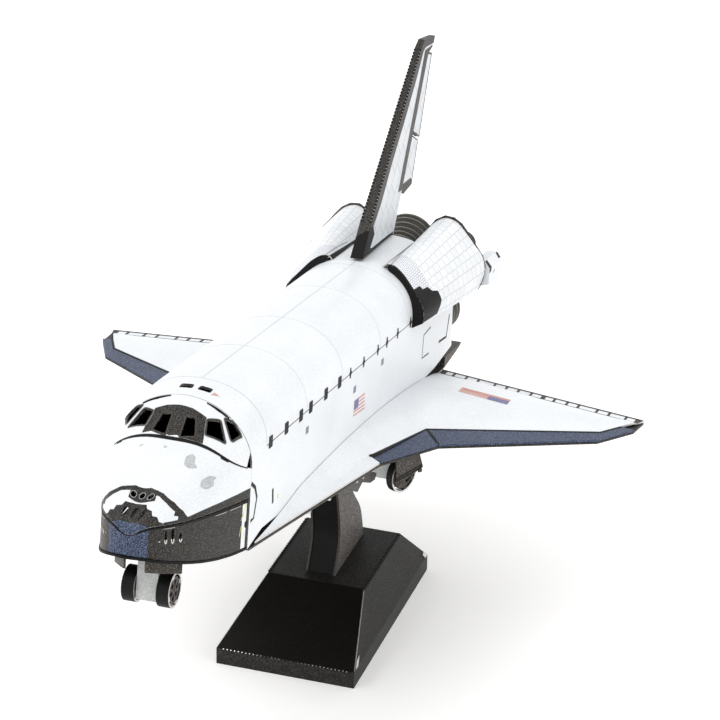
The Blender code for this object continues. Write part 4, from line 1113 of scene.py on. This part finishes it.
def bellPiece(name, look, place, tilt, replaced):
    solid, turn, wire = bmesh.new(), Matrix.Rotation(tilt, 3, "X"), look["wire"]
    wall = [along(look["profile"], k / 10) for k in range(11)]
    inner = [(max(0.2, radius - bellWall), distance) for radius, distance in reversed(wall)]
    # Outer wall in the bell finish, lip in the hoop finish, inner wall black: painted shade inside the bell.
    addTurned(solid, wall + inner, [0] * 10 + [2] + [1] * 11, place, turn)
    for h in range(look["hoops"]):
        radius, distance = along(look["profile"], (h + 0.7) / look["hoops"])
        hoop = [(radius + a, distance + b) for a, b in ((0, -wire), (wire, 0), (0, wire), (-wire, 0))]
        addTurned(solid, hoop, [3] * 4, place, turn)
    finishPiece(name, solid, ("bellPrint", "blackPrint", "hoopPrint", "hoopPrint"), (replaced,))


for name, x, z, angle in bells["places"]:
    bellPiece("bell_" + name, bells, (x, bells["startY"], z), math.radians(angle), "engine_bell_" + name)
for side, name in sides:
    x, y, z = nozzle["place"]
    bellPiece("nozzle_" + name, nozzle, (side * x, y, z), nozzle["tilt"], "pod_nozzle_" + name)
print("bells made")


# Stand, drawn in the scene's own axes: perforated folds, tabs at the corners and the arm

stand = {"half": 9.15, "front": 18.2, "back": 13.7, "topHalf": 6.45, "topFront": 6.1, "topBack": 9.4,
         "skirt": 2.27, "height": 7.3, "sideHoles": 24, "sideHole": (0.36, 0.42, 0.16), "frontHoles": 34,
         "frontHole": (0.26, 0.16, 0.1), "glint": (0.12, 0.10, 0.1)}


def onStand(x, y, z):
    return Vector((x, y + middleY, z)) * mm


topCorners = [onStand(x, y, stand["height"]) for x, y in
              panel(-stand["topHalf"], -stand["topFront"], stand["topHalf"], stand["topBack"])]
skirtCorners = [onStand(x, y, stand["skirt"]) for x, y in
                panel(-stand["half"], -stand["front"], stand["half"], stand["back"])]
rows = []
for a, b, side in ((topCorners[1], topCorners[2], 1), (topCorners[0], topCorners[3], -1)):
    rows.append((a.lerp(b, 0.03), a.lerp(b, 0.97), Vector((side * 0.6, 0, 0.8)), stand["sideHoles"],
                 stand["sideHole"]))
a, b = skirtCorners[0], skirtCorners[1]
ahead = Vector((0, -0.7, 0.7))
rows.append((a.lerp(b, 0.04), a.lerp(b, 0.96), ahead, stand["frontHoles"], stand["frontHole"]))
# The perforations are black blocks: painted shade for the dark seen through each hole.
rowPiece("stand_perforations", rows, "blackPrint")
glints = [(a.lerp(b, 0.053), a.lerp(b, 0.947), ahead, stand["frontHoles"], stand["glint"])]
rowPiece("stand_glints", glints, "cutSteel")


def addPanel(solid, side, outline, thick, lift):
    # A thin plate on a sloping side: 0 in front, 1 to port, 2 behind, 3 to starboard; u across, v upwards
    after = (side + 1) % 4

    def place(u, v):
        low = skirtCorners[side].lerp(skirtCorners[after], u)
        return low.lerp(topCorners[side].lerp(topCorners[after], u), v)
    normal = (place(1, 0) - place(0, 0)).cross(place(0, 1) - place(0, 0)).normalized() * mm
    outer, inner = [[solid.verts.new(place(u, v) + normal * height) for u, v in outline]
                    for height in (lift, lift - thick)]
    solid.faces.new(outer)
    solid.faces.new(inner[::-1])
    for k in range(len(outline)):
        solid.faces.new((outer[k - 1], inner[k - 1], inner[k], outer[k]))


panels = bmesh.new()
addPanel(panels, 0, [(0.006, 0.01), (0.994, 0.01), (0.992, 0.99), (0.008, 0.99)], 0.04, 0.06)
finishPiece("stand_front_plate", panels, ("frontPrint",), smooth=False)
edges = bmesh.new()
for u in (0.0, 0.996):
    addPanel(edges, 0, panel(u, 0.02, u + 0.004, 0.97), 0.05, 0.075)
addPanel(edges, 1, panel(0.0, 0.02, 0.006, 0.97), 0.05, 0.05)
for side, u in ((1, 0.985), (1, 0.03), (3, 0.03)):
    corner = [(u - 0.02, 0.02), (u + 0.012, 0.02), (u + 0.014, 0.15), (u - 0.016, 0.13)]
    addPanel(edges, side, corner, 0.2, 0.12)
finishPiece("stand_cut_edges", edges, ("cutSteel",), smooth=False)
print("stand made")


# The arm: a channel folded from one sheet, its closed side to the front

arm = {"front": ((-4.4, 7.36), (-2.4, 11.5), (-3.0, 16.5), (-4.4, 21.0), (-6.6, 26.0), (-8.2, 30.5)),
       "back": ((7.6, 7.36), (6.1, 12.0), (2.8, 16.0), (-0.2, 20.5), (-2.6, 26.0), (-3.6, 29.72)),
       "half": 2.0, "sheet": 0.3, "recess": 0.16, "stations": 25}
outer, inner = arm["half"], arm["half"] - arm["sheet"]
section = ((-outer, 0, 0), (-inner, 0, 0), (-inner, 0, 1), (inner, 0, 1), (inner, 0, 0), (outer, 0, 0),
           (outer, 1, 0), (inner, 1, 0), (inner, 0, 2), (-inner, 0, 2), (-inner, 1, 0), (-outer, 1, 0))
# Finish of each face round the section: 0 the outer sides, 2 the edges, 1 black on the recessed web and the
# inside faces, painted shade for the shade in the channel; the closed ends take 1 as well.
sectionInksAndShade = (2, 1, 1, 1, 2, 0, 2, 1, 1, 1, 2, 0)
setBack = (0, arm["recess"], arm["recess"] + arm["sheet"])
channel, rings = bmesh.new(), []
for k in range(arm["stations"]):
    share = k / (arm["stations"] - 1)
    edges = along(arm["front"], share), along(arm["back"], share)
    rings.append([channel.verts.new(onStand(x, edges[rear][0] + setBack[step], edges[rear][1]))
                  for x, rear, step in section])
for ring, after in zip(rings, rings[1:]):
    for k, index in enumerate(sectionInksAndShade):
        j = (k + 1) % len(section)
        channel.faces.new((ring[k], ring[j], after[j], after[k])).material_index = index
for ring in (rings[0], rings[-1]):
    channel.faces.new(ring).material_index = 1
finishPiece("arm_channel", channel, ("armPrint", "blackPrint", "rimPrint"), ("stand_arm",))
print("arm made")


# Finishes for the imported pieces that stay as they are; a star stands for port and starboard

kept = {"blueGreyPrint": ("glove_edge_*", "wing_edge_*"), "charcoalPrint": ("belly_wing_plate",),
        "blackPrint": ("nose_floor", "aft_bulkhead"), "greyPrint": ("nose_gear_box", "main_gear_box_*"),
        "brownGreyPrint": ("body_flap", "pod_end_*", "nose_door_*", "main_door_outer_*"),
        "whitePrint": ("thruster_pod_*",), "rimPrint": ("main_door_inner_*",), "standPrint": ("stand_base",)}
for finish, patterns in kept.items():
    for pattern in patterns:
        for side, name in sides if "*" in pattern else sides[:1]:
            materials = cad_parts[pattern.replace("*", name)].data.materials
            materials.clear()
            materials.append(made[finish])


# Camera, floor and light

view = {"right": (0.9516, 0.3067, 0.018), "down": (0.1486, -0.4084, -0.9006),
        "ahead": (-0.2689, 0.8597, -0.4343), "eye": (105.4, -311.24, 201.2), "lens": 151.0, "sensor": 36}
turned = Matrix((Vector(view["right"]), -Vector(view["down"]), -Vector(view["ahead"]))).transposed().to_4x4()
cameraData = bpy.data.cameras.new("camera")
cameraData.lens = view["lens"]
cameraData.sensor_width = view["sensor"]
cameraData.clip_start = 0.01
camera = bpy.data.objects.new("camera", cameraData)
camera.matrix_world = Matrix.Translation(Vector(view["eye"]) * mm) @ turned
bpy.context.scene.collection.objects.link(camera)
bpy.context.scene.camera = camera

studio = {"floor": 3.0, "paper": (0.93, 0.925, 0.92, 1), "glowTint": (1, 0.995, 0.985, 1), "glow": 0.22,
          "world": 0.96, "target": (0, 0, 0.04),
          "lights": {"key": ((-0.35, -0.45, 0.75), 0.6, 2.6), "fill": ((0.75, -0.25, 0.45), 0.7, 0.5),
                     "rear": ((0.35, 0.75, 0.65), 0.7, 1.4)}}
floorMesh = bmesh.new()
bmesh.ops.create_grid(floorMesh, x_segments=8, y_segments=8, size=studio["floor"] / 2)
floorData = bpy.data.meshes.new("floor")
floorMesh.to_mesh(floorData)
floorMesh.free()
floor = bpy.data.objects.new("floor", floorData)
bpy.context.scene.collection.objects.link(floor)
tree, shader = startMaterial("paper")
feed(shader, {"Base Color": studio["paper"], "Roughness": 0.8, "Specular IOR Level": 0.1,
              "Emission Color": studio["glowTint"], "Emission Strength": studio["glow"]})
floorData.materials.append(made["paper"])

for name, (place, size, power) in studio["lights"].items():
    light = bpy.data.lights.new(name, "AREA")
    light.shape = "DISK"
    light.size = size
    light.energy = power
    lamp = bpy.data.objects.new(name, light)
    lamp.location = place
    lamp.rotation_euler = (Vector(studio["target"]) - Vector(place)).to_track_quat("-Z", "Y").to_euler()
    bpy.context.scene.collection.objects.link(lamp)
world = bpy.data.worlds.new("world")
world.use_nodes = True
feed(world.node_tree.nodes["Background"], {"Color": (1, 1, 1, 1), "Strength": studio["world"]})
bpy.context.scene.world = world
bpy.context.scene.view_settings.view_transform = "Standard"

print("scene made")
